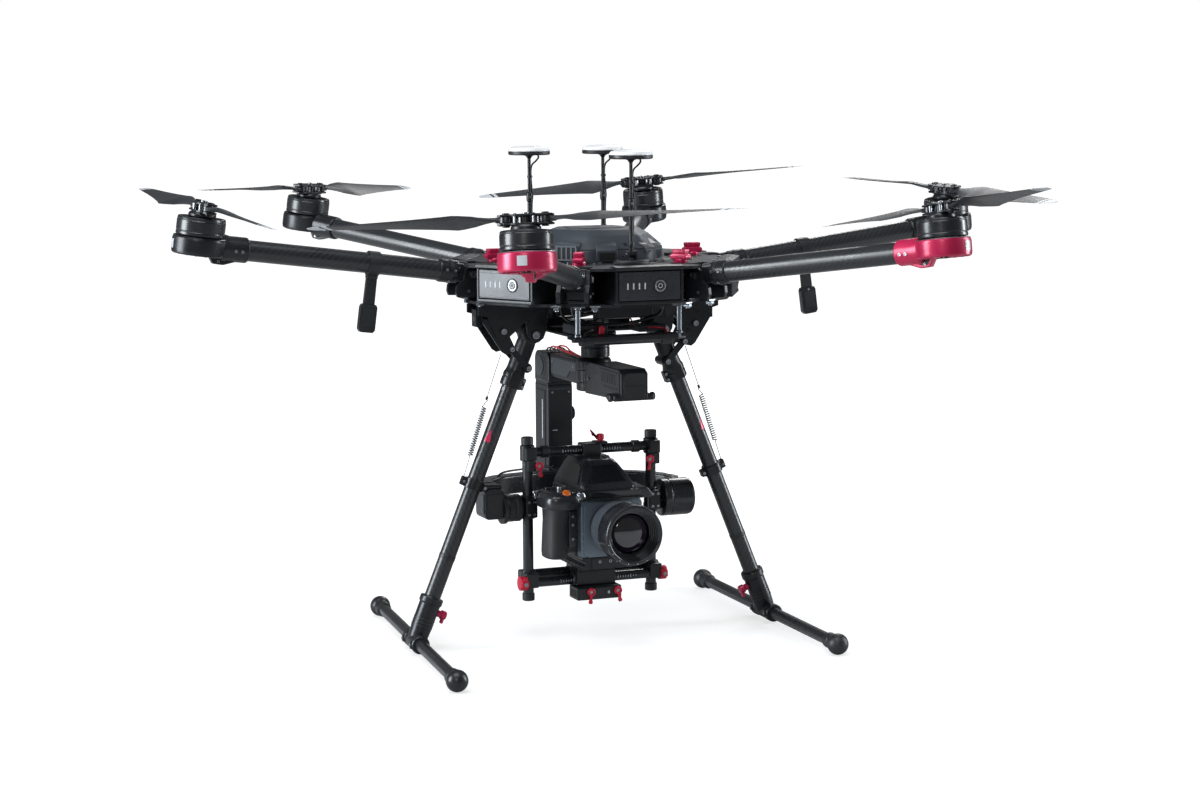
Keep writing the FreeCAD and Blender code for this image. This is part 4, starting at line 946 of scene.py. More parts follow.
    # Ring-headed pins at the pivots
    flip = 1 if side == "left" else -1
    p = Piece("crank_pins_" + side, SILVER)
    q = JOINTS[side + "_crank_pivot"]["pos_m"]
    for s in (-1, 1):
        p.bolt((q[0] * 1000, GEAR_Y + s * 27.4, q[2] * 1000), (0, s, 0), 4.2, 1.4, 0)
        p.bolt((KNEE_X * flip, GEAR_Y + s * 21.4, KNEE_Z), (0, s, 0), 3.6, 1.6, 0)
    p.done(side + "_crank")
    p = Piece("link_pins_" + side, SILVER)
    q = JOINTS[side + "_link_pivot"]["pos_m"]
    for s in (-1, 1):
        p.bolt((q[0] * 1000, GEAR_Y + s * 18.6, q[2] * 1000), (0, s, 0), 3.8, 1.6, 0)
    p.done(side + "_link")
    p = Piece("bracket_trim_" + side, SILVER, BLACK, PLASTIC, ORANGE, SHADE_AND_NEAR_BLACK, at=mirror)
    for s in (-1, 1):
        p.bolt((PIV.x, GEAR_Y + s * 27.3, PIV.y), (0, s, 0), 5.6, 1.6, 0)
        for x, z in ((-172, -64), (-126, -66), (-88, -66), (-92, -84), (-152, -80)):
            p.bolt((x, GEAR_Y + s * 25, z), (0, s, 0), 2.2, 1.2, 1)
        p.prism([(-120, -70), (-96, -70), (-100, -88), (-112, -78)], "y", GEAR_Y + s * 25.0,
                GEAR_Y + s * 25.7, 0.2, 4)
    p.box(-171, -117, GEAR_Y - 10.4, GEAR_Y + 10.4, -87, -60, 2.0, 2)
    for k in range(5):
        p.box(-160 + 8 * k, -156 + 8 * k, GEAR_Y - 10.9, GEAR_Y + 10.9, -82, -64, 0.6, 2)
    p.lathe([(9, 0), (9, 5), (7.5, 7), (4, 7)], (-172, GEAR_Y, -79), (-1, 0, 0), 1, 32, 0.6)
    p.bolt((-179, GEAR_Y, -79), (-1, 0, 0), 3.4, 1.4, 0)
    for x, m in ((-150, 3), (-144, 2)):
        p.tube([(x, GEAR_Y + 9, -66), (x + 1, GEAR_Y + 14.4, -66), (x + 6, GEAR_Y + 15, -63),
                (x + 8, GEAR_Y + 15, -57)],
               1.1, m, 8)
    p.done("frame")

# ------------------------------------------------------------ gimbal deck
p = Piece("deck_frame", BLACK, PLASTIC, POST, RED, SHADE_AND_NEAR_BLACK, SATIN, PALE)
for y in (-132, 106):
    p.box(-84, 84, y, y + 26, -102, -98, 1.0, 0)
    # Near-black slots in the cross plates: painted shade
    for k in range(-3, 4):
        p.box(22 * k - 7, 22 * k + 7, y + 8, y + 18, -102.3, -97.7, 0.3, 4)
for x in (-72, 54):
    p.box(x, x + 18, -106, 106, -102, -98, 1.0, 0)
p.box(-54, 54, -24, 24, -102, -98, 1.0, 0)
for x in (-30, 30):
    p.lathe([(8, -1.5), (8, 1.5)], (x, 0, -98), EZ, 4, 28, 0.4)
p.prism([(-84, -128), (-70, -134), (70, -134), (84, -128), (84, -122), (-84, -122)], "z", -105, -97.6, 1.0,
        0)
for s in (-1, 1):
    p.lathe([(5.2, -70), (5.2, 70)], (0, s * 117, -106), EX, 5, 28, 0.5)
    for x in (-58, 58):
        p.lathe([(7.4, -7), (7.4, 7)], (x, s * 117, -106), EX, 1, 28, 0.8)
        p.box(x - 6, x + 6, s * 117 - 6, s * 117 + 6, -104, -98, 1.2, 1)
for x in (-75.2, 75.2):
    for y in (-124.2, 124.2):
        p.lathe([(5.0, -99), (5.0, -95), (3.7, -94), (3.7, -61), (5.0, -60), (5.0, -54)], (x, y, 0), m=2,
                seg=28, soft=0.3)
        p.box(x - 9, x + 9, y - 7, y + 7, -58, -54, 1.0, 2)
        p.bolt((x, y, -102), DOWN, 3.4, 1.6, 2)
for x, y in ((-18, -15), (18, -15), (-18, 15), (18, 15)):
    p.lathe([(5, -108.2), (7.2, -106.6), (7.6, -105), (7.2, -103.4), (5, -101.8)], (x, y, 0), m=1, seg=28,
            soft=0.5)
p.lathe([(20.5, -139), (20.5, -126.6), (19.8, -126), (19.8, -125.2), (20.5, -124.6), (20.5, -113),
         (23, -112),
         (29.5, -112), (30, -111.4), (30, -108.6), (29.5, -108)], m=0, seg=56, soft=0.4)
for k in range(6):
    t = math.radians(60 * k + 20)
    p.bolt((25.5 * math.cos(t), 25.5 * math.sin(t), -112), DOWN, 1.9, 1.2, 2)
# Quick-release lever of the gimbal plate
p.lathe([(4.2, -1), (4.2, 4)], (-36, -112, -104), EZ, 3, 20, 0.5)
p.prism([(-40, -96), (-33, -96), (-31, -88), (-36, -84), (-39, -86)], "y", -116, -111.5, 0.8, 3)
for route, r, m in (
        ([(24, -66, -76), (28, -82, -90), (40, -98, -91), (58, -110, -92), (64, -112, -99)], 1.1, 3),
        ([(-12, -62, -76), (-22, -80, -90), (-38, -98, -91), (-56, -110, -92), (-62, -112, -99)], 1.3, 1),
        ([(-30, 88, -80), (-38, 104, -90), (-52, 112, -92), (-60, 114, -99)], 1.5, 1),
        ([(30, 88, -80), (38, 104, -90), (52, 112, -92), (60, 114, -99)], 1.5, 1),
        ([(-66, -78, -57), (-60, -80, -76), (-24, -84, -86), (22, -88, -84), (58, -92, -74),
          (64, -94, -57)], 2.4, 1),
        ([(-62, -26, -57), (-60, -30, -78), (-46, -46, -88), (-24, -54, -84), (-10, -54, -76)], 2.0, 1),
        ([(66, -26, -57), (62, -30, -78), (54, -44, -84), (44, -52, -76)], 2.0, 1),
        ([(-66, 20, -57), (-62, 26, -80), (-52, 40, -88), (-42, 56, -78)], 2.2, 1),
        ([(66, 20, -57), (62, 26, -80), (52, 40, -88), (42, 56, -78)], 2.2, 1),
        ([(-66, 98, -57), (-56, 98, -82), (-20, 97, -92), (24, 97, -90), (58, 98, -80), (66, 98, -57)],
         2.2, 1)):
    p.tube(route, r, m, 10)
# Small modules that crowd the space under the hub
p.box(-70, -22, -104, -52, -97.6, -84, 2.0, 1)
p.box(-66, -26, -100, -56, -84.4, -82.8, 0.5, 5)
p.box(26, 68, -98, -60, -97.6, -88, 2.0, 1)
p.box(-68, -30, 30, 100, -97.6, -86, 2.0, 1)
p.box(34, 68, 34, 96, -97.6, -84, 2.0, 1)
p.box(-50, 50, 96, 104, -90, -56, 2.0, 0)
p.box(-30, 52, -88, -80, -78, -56, 2.0, 0)
p.done("frame", "gimbal_deck")

p = Piece("electronics_boxes", PLASTIC, SHADE_AND_NEAR_BLACK, SILVER, PALE, GREYPANEL, BLACK)
p.prism([(-16, -60), (-8, -80), (48, -80), (48, -58), (-14, -58)], "y", -70, -36, 1.6, 0)
p.box(-4, 44, -70.6, -69.6, -76, -62, 0.3, 5)
# Near-black vent slots: painted shade
for k in range(5):
    p.box(4 + 7 * k, 8 + 7 * k, -71.0, -70.2, -73, -65, 0.2, 1)
p.prism([(-46, -56), (-48, -72), (-40, -84), (40, -84), (48, -74), (48, -58)], "y", 40, 92, 1.6, 0)
p.box(-40, 40, 91.6, 92.8, -80, -62, 0.3, 5)
# Near-black vent slots: painted shade
for k in range(7):
    p.box(-34 + 10 * k, -28 + 10 * k, 92.4, 93.2, -78, -64, 0.2, 1)
p.box(-34, 34, -34, 30, -72, -56, 2.0, 5)
p.box(-30, 30, -30, 26, -73, -71.5, 0.6, 4)
for x, y in ((-30, -30), (30, -30), (-30, 26), (30, 26)):
    p.bolt((x * 0.86, y * 0.86, -73), DOWN, 2.0, 1.0, 2)
p.done("frame", "electronics")

# ------------------------------------------------------------ side-arm aerials
for side, n in (("left", "f"), ("right", "c")):
    x = (326 - 188) / math.cos(math.radians(7.4))
    p = Piece("aerial_%s_body" % side, PLASTIC, SATIN, SILVER, at=ARM_AT[n] @ Matrix.Translation((x, 0, 0)))
    p.lathe([(14.4, -8), (16.8, -8), (16.8, 8), (14.4, 8)], ORIGIN, EX, 0, 48, 0.5)
    p.box(-8, 8, -5, 5, -21, -13, 1.5, 0)
    p.prism([(-7.5, -15), (7.5, -15), (8, -58), (-8, -58)], "y", -3.2, 3.2, 0.9, 0)
    p.prism([(-10, -56), (10, -56), (12, -60), (12, -91), (9, -95), (-9, -95), (-12, -91), (-12, -60)],
            "y", -5.2, 5.2,
            1.2, 1)
    p.prism([(-8, -62), (8, -62), (8, -86), (-8, -86)], "y", -5.9, 5.9, 0.3, 0)
    p.bolt((0, -5.2, -18), FRONT, 2.2, 1.3, 2)
    p.bolt((0, -5.2, -59), FRONT, 1.7, 1.0, 2)
    p.done("arm_" + n, "aerial_" + side)

# ------------------------------------------------------------ gimbal: pan arm
TY, TZ = jpos("gimbal_tilt").y, jpos("gimbal_tilt").z
p = Piece("pan_arm_body", BLACK, PLASTIC, GREYPANEL, SHADE_AND_NEAR_BLACK, SILVER, PALE, RED_WIRE)
p.lathe([(12, -150), (12, -139.6)], m=1, seg=32, soft=0.4)
p.lathe([(24, -188), (25, -186.5), (25, -176), (24.4, -175.4), (24.4, -174.6), (25, -174), (25, -158.6),
         (24.4, -158),
         (24.4, -157.2), (25, -156.6), (25, -146), (23.4, -142.6), (21.5, -141), (12, -140.6)], (0, 6, 0),
        m=0, seg=56, soft=0.5)
pack = [(-144, -184), (-142, -186), (-10, -190), (-10, -150), (-30, -144), (-134, -143.5), (-144, -149)]
p.prism(pack, "x", -20, 20, 4.0, 0, n=4)
for s in (-1, 1):
    x0, x1 = sided(s, 19.6, 20.8)
    p.prism([(-138, -149), (-66, -148), (-56, -156), (-44, -157), (-44, -164), (-60, -166), (-74, -180),
             (-138, -178)],
            "x", x0, x1, 0.5, 1)
    x0, x1 = sided(s, 20.4, 21.1)
    # Near-black vent slots and the long slot below them: painted shade
    for k in range(6):
        y = -124 + 9.4 * k
        p.prism([(y, -152), (y + 5.6, -152), (y + 4.4, -166), (y - 1.2, -166)], "x", x0, x1, 0.2, 3)
    p.prism([(-132, -170), (-80, -170), (-84, -173), (-132, -173)], "x", x0, x1, 0.2, 3)
    p.lathe([(5.6, 0), (5.6, 4), (4.2, 5.2)], (s * 29.2, -132, -182.5), (s, 0, 0), 1, 24, 0.4)
    p.bolt((s * 20.5, -24, -168), (s, 0, 0), 2.2, 1.0, 4)
p.prism([(-16.5, -182), (16.5, -182), (16.5, -153), (12, -148.5), (-12, -148.5), (-16.5, -153)], "y",
        -145.2, -143, 0.8, 1)
p.box(-15, 15, -145.7, -144.8, -166.4, -165.6, 0.1, 3)
p.box(-30, 30, -143, -112, -187, -178.5, 2.4, 1, n=3)
p.box(-26, 26, -143.6, -142.6, -186, -180, 0.4, 0)
# Rear beam
p.box(-16, 16, 10, 150, -182, -148, 3.0, 0, n=3)
for s in (-1, 1):
    x0, x1 = sided(s, 15.6, 17.0)
    p.prism([(34, -152), (134, -152), (134, -176), (70, -176), (58, -166), (34, -164)], "x", x0, x1, 0.6, 2)
    p.bolt((s * 16.6, 44, -158), (s, 0, 0), 2.0, 1.0, 4)
    p.bolt((s * 16.6, 126, -158), (s, 0, 0), 2.0, 1.0, 4)
# Knuckle and the post down to the roll motor
p.prism([(136, -192), (194, -192), (194, -158), (191, -151), (185, -147), (144, -146), (136, -154)], "x",
        -20, 20, 2.4, 0, n=3)
p.lathe([(21.5, -20.6), (21.5, 20.6)], (0, 170, -168.5), EX, 1, 48, 1.4)
p.lathe([(15, 20.4), (15, 21.6), (13.5, 22)], (0, 170, -168.5), (-1, 0, 0), 2, 40, 0.3)
p.lathe([(15, 20.4), (15, 21.6), (13.5, 22)], (0, 170, -168.5), EX, 2, 40, 0.3)
p.box(-19.4, 19.4, 142, 192, -200, -186, 1.0, 1)
p.box(-20, 20, 141, 193, -352, -194.5, 2.6, 0, n=3)
p.box(-19, 19, 139.6, 142, -322, -199, 0.8, 2)
p.box(-16.5, 16.5, 139.1, 140.2, -318, -203, 0.4, 0)
p.box(-13, -5, 138.8, 139.6, -262.6, -261.8, 0.1, 5, n=1)
for z in (-206, -315):
    for x in (-13, 13):
        p.bolt((x, 139.2, z), FRONT, 1.7, 0.9, 4)
for s in (-1, 1):
    x0, x1 = sided(s, 19.5, 21.0)
    p.box(x0, x1, 150, 184, -320, -204, 0.7, 1)
    x0, x1 = sided(s, 20.8, 21.3)
    p.box(x0, x1, 158, 160.2, -276, -218, 0.2, 5, n=1)
    p.prism([(146, -322), (172, -322), (146, -346)], "x", x0 * 0.985, x1, 0.2, 3)
p.lathe([(9.5, 0), (9.5, 5.5), (8.4, 7)], (20.4, 158, -240), EX, 1, 32, 0.5)
for k in range(14):
    M = Matrix.Translation((23.4, 158, -240)) @ Matrix.Rotation(math.radians(360 / 14 * k), 4, "X")
    p.box(-2.2, 2.2, 9.0, 10.2, -1.1, 1.1, 0.3, 0, n=1, M=M)
p.lathe([(26.5, 138.2), (28, 140), (28, 158), (27.2, 158.8), (27.2, 160), (28, 160.8), (28, 184),
         (26, 187), (12, 188)],
        (0, 0, TZ), EY, 0, 56, 0.6)
for k in range(6):
    t = math.radians(60 * k)
    p.bolt((19 * math.cos(t), 187.2, TZ + 19 * math.sin(t)), EY, 1.9, 1.2, 4)
for k, (x, lift) in enumerate(((-8, 0.0), (-3, 1.6), (3, 0.6), (8, 2.0))):
    p.tube([(x, 176, -152), (x * 1.1, 166, -143 + lift), (x * 1.2, 140, -141.5 + lift),
            (x * 0.7, 110, -145 + lift),
            (x * 0.5, 70, -146.2), (x * 0.5, 38, -146.2), (x * 0.5, 24, -146.6)], 1.15, (1, 6, 1, 6)[k], 8)
p.done("pan_arm", "pan_arm")

# ------------------------------------------------------------ gimbal: roll arm
p = Piece("roll_arm_body", BLACK, PLASTIC, GREYPANEL, SHADE_AND_NEAR_BLACK, SILVER, SATIN)
p.lathe([(12, 110), (24, 119), (25, 121), (25, 133), (24.2, 134), (24.2, 136), (25, 137), (25, 139),
         (12, 139.5)],
        (0, 0, TZ), EY, 0, 56, 0.6)
ctrl_out = [(-164, 14), (-164, 40), (-152, 72), (-124, 102), (-82, 122), (-30, 137), (30, 137), (80, 122),
            (118, 102),
            (142, 72), (151, 50)]
ctrl_in = [(134, 40), (124, 62), (104, 86), (70, 103), (30, 119), (-30, 119), (-70, 105), (-110, 86),
           (-134, 60),
           (-137, 38), (-137, 14)]
outer = [(q.x, q.y) for q in curve_through([(*c, 0) for c in ctrl_out], 4)]
inner = [(q.x, q.y) for q in curve_through([(*c, 0) for c in ctrl_in], 4)]
shear = Matrix(((1, 0, 0, 0), (0, 1, 0, 0), (-0.032, 0, 1, -4.5), (0, 0, 0, 1)))
p.prism(outer + inner, "z", -344, -317, 3.0, 5, n=3, M=shear)
p.prism([(x * 0.985, y * 0.985) for x, y in outer[4:-4]] + [(x * 1.03, y * 1.02) for x, y in inner[4:-4]],
        "z", -317.6, -316.2,
        0.4, 2, M=shear)
p.prism([(-164, -362), (-160, -366), (-138, -366), (-134, -362), (-134, -328), (-140, -321), (-160, -321),
         (-164, -326)],
        "y", 11, 52, 2.0, 0)
for k in range(5):
    p.box(-158, -140, 17 + 7 * k, 20 + 7 * k, -321.4, -320.2, 0.3, 1)
p.prism([(15, -358), (48, -358), (48, -330), (15, -330)], "x", -165.2, -163.6, 0.5, 2)
p.bolt((-165, 22, -352), (-1, 0, 0), 2.2, 1.0, 4)
p.prism([(-160, -360), (-138, -360), (-138, -330), (-160, -330)], "y", 10.2, 11.4, 0.4, 1)
p.lathe([(17, -107), (18.6, -108), (19.5, -109), (19.5, -116), (18.7, -116.8), (18.7, -118),
         (19.5, -118.8), (19.5, -128),
         (22, -130), (22, -136)][::-1], (0, TY, TZ), EX, 1, 48, 0.5)
p.lathe([(20, 108), (26, 108.6), (27, 110), (27, 119), (26.3, 119.8), (26.3, 121), (27, 121.8), (27, 150),
         (26, 154), (23, 156),
         (10, 156.2)], (0, TY, TZ), EX, 5, 64, 0.9)
p.lathe([(5.5, 156), (5.5, 156.8), (4.5, 156.8)], (0, TY, TZ), EX, 1, 32, 0.2)
p.prism([(112, -330), (140, -330), (146, -344), (112, -344)], "y", 44, 70, 2.0, 0)
for x in (-60, 0, 60):
    p.bolt((x, 112 if x else 128, -317), EZ, 2.2, 1.0, 4)
p.tube([(-14, 131, -322), (-26, 130, -314), (-66, 116, -313), (-108, 94, -313), (-124, 78, -322)], 1.6, 3,
       8)
p.done("roll_arm", "roll_arm")


# ------------------------------------------------------------ gimbal: tilt cage
def lever(p, at, swing=0.0, tail=15.0, red=0, steel=1, axis=(0, -1, 0)):
    """Red clamp lever: a ringed eye on a screw and a tapering tail."""
    M = Matrix.Translation(at) @ Matrix.Rotation(math.radians(swing), 4, "Y")
    p.lathe([(2.6, 0), (5.4, 0), (5.8, 1.0), (5.8, 4.2), (5.2, 5.0), (3.0, 5.0), (2.6, 4.0), (2.6, 0)],
            ORIGIN, axis, red, 28,
            0.4, M=M)
    p.lathe([(2.5, 0), (2.5, 3.4)], ORIGIN, axis, steel, 16, 0.3, M=M)
    p.prism([(-2.0, -4.6), (2.0, -4.6), (1.8, -10), (3.2, -tail + 2), (2.0, -tail), (-2.2, -tail),
             (-3.0, -tail + 2.4),
             (-1.6, -10)], "y", -4.2, -0.8, 0.7, red, M=M)


CX = 95.0
p = Piece("cage_tubes", BLACK, SILVER, RED, PALE, PLASTIC, SHADE_AND_NEAR_BLACK, SATIN)
for s in (-1, 1):
    x = s * CX
    p.lathe([(7.5, -486), (7.5, -256)], (x, TY, 0), m=6, seg=40, soft=0)
    p.lathe([(7.2, -488.5), (8.8, -487.6), (8.8, -478), (7.5, -477)], (x, TY, 0), m=4, seg=40, soft=0.5)
    p.lathe([(7.5, -264), (8.8, -263), (8.8, -253.6), (7.6, -252.5)], (x, TY, 0), m=4, seg=40, soft=0.5)
    # Top clamp, tilt-motor clamp and corner clamp
    p.lathe([(8, -287), (10.5, -286), (10.5, -265), (8, -264)], (x, TY, 0), m=0, seg=40, soft=0.6)
    p.box(x - 8, x + 8, TY - 19, TY - 7, -285, -266, 1.8, 0)
    p.box(x - 6, x + 6, 4, 12, -300, -284, 1.6, 4)
    p.lathe([(7.8, TZ - 17), (11, TZ - 16), (11, TZ - 7), (10.2, TZ - 6), (10.2, TZ + 6), (11, TZ + 7),
             (11, TZ + 16), (7.8, TZ + 17)],
            (x, TY, 0), m=0, seg=40, soft=0.5)
    p.box(x - 9, x + 9, TY - 18, TY - 8, TZ - 14, TZ + 14, 2.2, 0)
    for z in (TZ - 9, TZ + 9):
        p.bolt((x - 4.2, TY - 18, z), FRONT, 2.1, 1.0, 1)
        p.bolt((x + 4.2, TY - 18, z), FRONT, 2.1, 1.0, 1)
    p.lathe([(11.5, 0), (11.5, 3), (9.6, 4), (9.6, 8), (11.5, 9), (11.5, 11.2)], (x, TY, TZ), (s, 0, 0), 0,
            40, 0.4)
    p.lathe([(10.4, -470), (11.2, -468), (11.2, -446), (10.4, -444)], (x, TY, 0), m=0, seg=40, soft=0.6)
    p.box(x - 9.5, x + 9.5, TY - 20, TY + 20, -468, -446, 2.2, 0)
    # Red C-clamp with its screw
    M = Matrix.Translation((x + s * 2.5, TY - 11, -461))
    p.lathe([(7.4, -5.5), (9.9, -5.5), (10.3, -4.6), (10.3, 4.6), (9.9, 5.5), (7.4, 5.5)], (s * 9.8, 0, 0),
            EX, 2, 36, 0.4, M=M)
    p.box(s * 9.8 - 5, s * 9.8 + 5, -12.8, -8.6, -5, 5, 1.1, 2, M=M)
    p.bolt((s * 9.8, -12.6, 0), FRONT, 2.8, 1.6, 1, M=M)
    p.box(s * 9.8 - 3, s * 9.8 + 3, -13, -10, 4.5, 10.5, 1.0, 2, M=M)
    lever(p, (x - s * 10, 5.0, -292), 8 * s, 16, 2, 1)
p.lathe([(7.0, -CX), (7.0, CX)], (0, TY - 2, -275), EX, 6, 40, 0)
p.lathe([(7.0, -CX - 8), (7.0, CX + 8)], (0, TY + 11, -453), EX, 6, 40, 0)
p.lathe([(7.0, -CX - 14), (7.0, CX + 14)], (0, TY - 11, -461), EX, 6, 40, 0.8)
for x in (-70, 70):
    p.lathe([(7.1, -6), (8.9, -5), (8.9, 5), (7.1, 6)], (x, TY - 2, -275), EX, 4, 32, 0.4)
for y, z, r, x0, k in ((TY - 2, -275, 7.1, -44, 23), (TY - 11, -461, 7.1, -52, 12),
                       (TY - 11, -461, 7.1, 36, 8)):
    for i in range(k):
        long = 0.34 if i % 5 == 0 else 0.18
        x = x0 + 4 * i
        # each mark runs part of the way round the tube
        p.lathe([(r, x - 0.32), (r, x + 0.32)], (0, y, z), EX, 3, 4, 0,
                span=(math.pi - long, math.pi + long))
# Top clamp on the cross tube, with its lever and the shoe on the camera
p.box(-14, 14, TY - 13, TY + 13, -286, -266, 2.4, 0, n=3)
p.lathe([(3.2, 0), (3.2, 5), (5.4, 6), (5.4, 13), (4.4, 14)], (16, TY - 2, -268), EZ, 2, 28, 0.5)
p.prism([(4, -255.6), (15, -256.6), (15, -262), (10, -262), (2, -250.4)], "y", TY - 5, TY - 0.5, 0.8, 2)
p.box(6, 24, TY - 12, TY + 8, -268.4, -264, 1.4, 0)
p.box(-20, 26, TY - 14, TY + 12, -289, -284.5, 1.2, 1)
p.box(-24, 30, TY - 17, TY + 15, -292.5, -288.6, 1.2, 4)
for x in (-16, 0, 18):
    p.bolt((x, TY - 17, -290), FRONT, 2.3, 1.2, 1)
# Saddle, dovetail plate and foot
p.box(-30, 30, TY - 24, TY + 24, -469, -447, 2.0, 0)
p.box(-28, 28, TY - 24, TY + 24, -448, -437.5, 1.4, 4)
p.prism([(-38, -438), (38, -438), (38, -433), (33, -430), (33, -427), (38, -424), (38, -420), (-38, -420),
         (-38, -424),
         (-33, -427), (-33, -430), (-38, -433)], "y", -42, 58, 0.8, 0)
# Near-black notches along the dovetail: painted shade
for x in (-38, 38):
    for k in range(6):
        y = -30 + 13 * k
        p.box(x - 0.6, x + 0.6, y, y + 7, -437, -434.4, 0.2, 5, n=1)
p.box(-24, 24, -43.4, -41.6, -436.5, -421.5, 0.5, 4)
for x in (-12, 4, 14):
    p.bolt((x, -42.6, -427), FRONT, 2.3, 1.2, 1)
p.box(-34, 34, -12, 22, -488, -469, 2.4, 0, n=3)
p.box(-31, 31, -12.8, -11.4, -486, -471, 0.5, 4)
p.box(12, 15, -13.1, -12.6, -480, -476, 0.1, 3, n=1)
# Near-black slot in the side of the foot: painted shade
p.box(-34.6, -33.4, -6, 16, -484, -474, 0.3, 5)
for x in (-26, 26):
    p.lathe([(7.1, -6), (9.2, -5), (9.2, 5), (7.1, 6)], (x, TY - 11, -461), EX, 4, 32, 0.4)
lever(p, (-14, -12.6, -476), 6, 17, 2, 1)
lever(p, (27, -12.6, -476), -12, 17, 2, 1)
p.done("camera_cage", "tilt_cage")

# ------------------------------------------------------------ camera
p = Piece("camera_shell", SATIN, LEATHER, GLOSS, BLUEGREY, SHADE_AND_NEAR_BLACK, SILVER, ORANGE, PALE, PLASTIC)
p.box(-46, 50, -38, 66, -420, -336, 5.5, 8, n=3)
p.box(-46.6, 50.6, -30, 58, -414, -346, 0.6, 1)
p.box(-44, 48, 65.4, 68.6, -412, -342, 1.4, 0)
p.box(-34, 34, 68.2, 69.2, -400, -352, 0.5, 2)
p.prism([(-44, -418), (50, -418), (50, -343), (44, -334), (-44, -334)], "y", -52, -36, 2.6, 3, n=3)
p.prism([(-40, -414), (-32, -418), (40, -418), (46, -411), (46, -352), (34, -339), (-32, -339),
         (-40, -346)], "y", -53.4, -51, 0.9, 3)
for k in range(7):
    p.bolt((-41.5, -53, -344 - 10 * k), FRONT, 0.9, 0.4, 5)
top = [(-44, -337), (62, -337), (63, -331), (56, -322), (-48, -322), (-50, -330)]
p.prism(top, "y", -58, 48, 2.4, 0, n=3)


# Prism hump: four sloping sides, three of them (front, left and right) with a raised glossy panel
def ringed(x0, x1, y0, y1, z, cut=5):
    """Rectangle at height z with its corners cut off."""
    return [(x0 + cut, y0, z), (x1 - cut, y0, z), (x1, y0 + cut, z), (x1, y1 - cut, z), (x1 - cut, y1, z),
            (x0 + cut, y1, z),
            (x0, y1 - cut, z), (x0, y0 + cut, z)]
p.loft([ringed(-44, 40, -54, 58, -324), ringed(-43, 39, -53, 58, -318), ringed(-37, 33, -42, 56, -306),
        ringed(-29, 25, -28, 53, -292),
        ringed(-25, 21, -19, 50, -286), ringed(-22, 18, -15, 47, -284)], 0)


def panel(a, b, c, d, lift, m, inset=0.16):
    """Raised panel on the four-cornered face a b c d."""
    q = [Vector(v) for v in (a, b, c, d)]
    mid = sum(q, Vector()) / 4
    nrm = (q[1] - q[0]).cross(q[3] - q[0]).normalized()
    o = [v + (mid - v) * inset for v in q]
    p.loft([[v + nrm * -1.0 for v in o], [v + nrm * lift for v in o],
            [v + (mid - v) * 0.06 + nrm * (lift + 0.5) for v in o]], m)


panel((-36, -50.5, -316), (32, -50.5, -316), (22, -24, -290), (-26, -24, -290), 1.0, 2)
panel((-43.5, 50, -318), (-43.5, -46, -318), (-27, -24, -289), (-27, 46, -289), 1.0, 2)
panel((39.5, -46, -318), (39.5, 50, -318), (23, 46, -289), (23, -24, -289), 1.0, 2)
p.prism([(-34, -331), (44, -331), (44, -323), (-34, -323)], "y", -60.6, -57, 1.0, 2)
p.prism([(-32, -333.5), (46, -333.5), (48, -336.5), (-34, -336.5)], "y", -61.4, -55, 0.7, 0)


# Shutter shoulder and hand grip
def oval(cx, cy, rx, ry, z, e=2.6, n=32):
    """Squared oval loop; e above 2 makes it squarer."""
    out = []
    for i in range(n):
        t = 2 * math.pi * i / n
        c, s = math.cos(t), math.sin(t)
        out.append((cx + rx * math.copysign(abs(c) ** (2 / e), c),
                    cy + ry * math.copysign(abs(s) ** (2 / e), s), z))
    return out


p.loft([oval(*v) for v in ((-78, -36, 14, 22, -416.5), (-78, -36, 15.6, 24, -415),
                           (-78, -36, 16.2, 24.5, -408), (-78, -36, 15.2, 23.5, -385),
                           (-77.5, -36.5, 14.8, 23, -362), (-76, -37, 16.8, 25.5, -348),
                           (-73, -37, 21, 27, -341))], 1)
p.loft([oval(*v) for v in ((-70, -32, 26, 33, -345.5, 3.2), (-70, -32, 27.5, 34.5, -343, 3.2),
                           (-70, -32, 28, 35, -333, 3.2), (-69, -31, 26.5, 33.5, -327, 3.2),
                           (-67, -29, 23, 30, -323.5, 3.2), (-66, -28, 20, 27, -322.6, 3.2))], 0)
p.lathe([(8.5, -1), (8.5, 1.4), (7.4, 2.2)], (-68, -57, -324.6), (0, -0.75, 1), 2, 40, 0.4)
p.lathe([(6.0, 0), (6.0, 2.8), (5.0, 3.6), (2, 4)], (-68, -57, -324.6), (0, -0.75, 1), 6, 36, 0.5)
p.loft([oval(*v) for v in ((-47, -60, 5, 4, -333), (-47, -60, 6.5, 5, -330), (-47, -59, 6.5, 5, -326),
                           (-47, -58, 4.5, 4, -323))], 5)
p.lathe([(8, -322.6), (8, -319), (7, -318.2)], (-62, -22, 0), EZ, 5, 32, 0.4)
p.lathe([(5, -322.8), (5, -320.6)], (-80, -14, 0), EZ, 2, 24, 0.4)
p.box(-64, -40, -38, -12, -412, -338, 3.0, 8)
p.box(-58, -46, -41, -37, -404, -352, 1.2, 0)
for z in (-360, -372, -392):
    p.bolt((-52, -41, z), FRONT, 2.0, 0.8, 5)
# Strap lugs, side door and thumb wheel
for s, x in ((-1, -97), (1, 63)):
    p.lathe([(4, 0), (4, 3), (2.6, 4)], (x, 10 if s > 0 else -14, -330), (s, 0, 0), 5, 24, 0.4)
p.box(49.6, 51.4, -20, 40, -408, -350, 0.7, 1)
p.box(51, 51.8, -14, 10, -400, -388, 0.3, 2)
p.done("camera_cage", "camera_body")

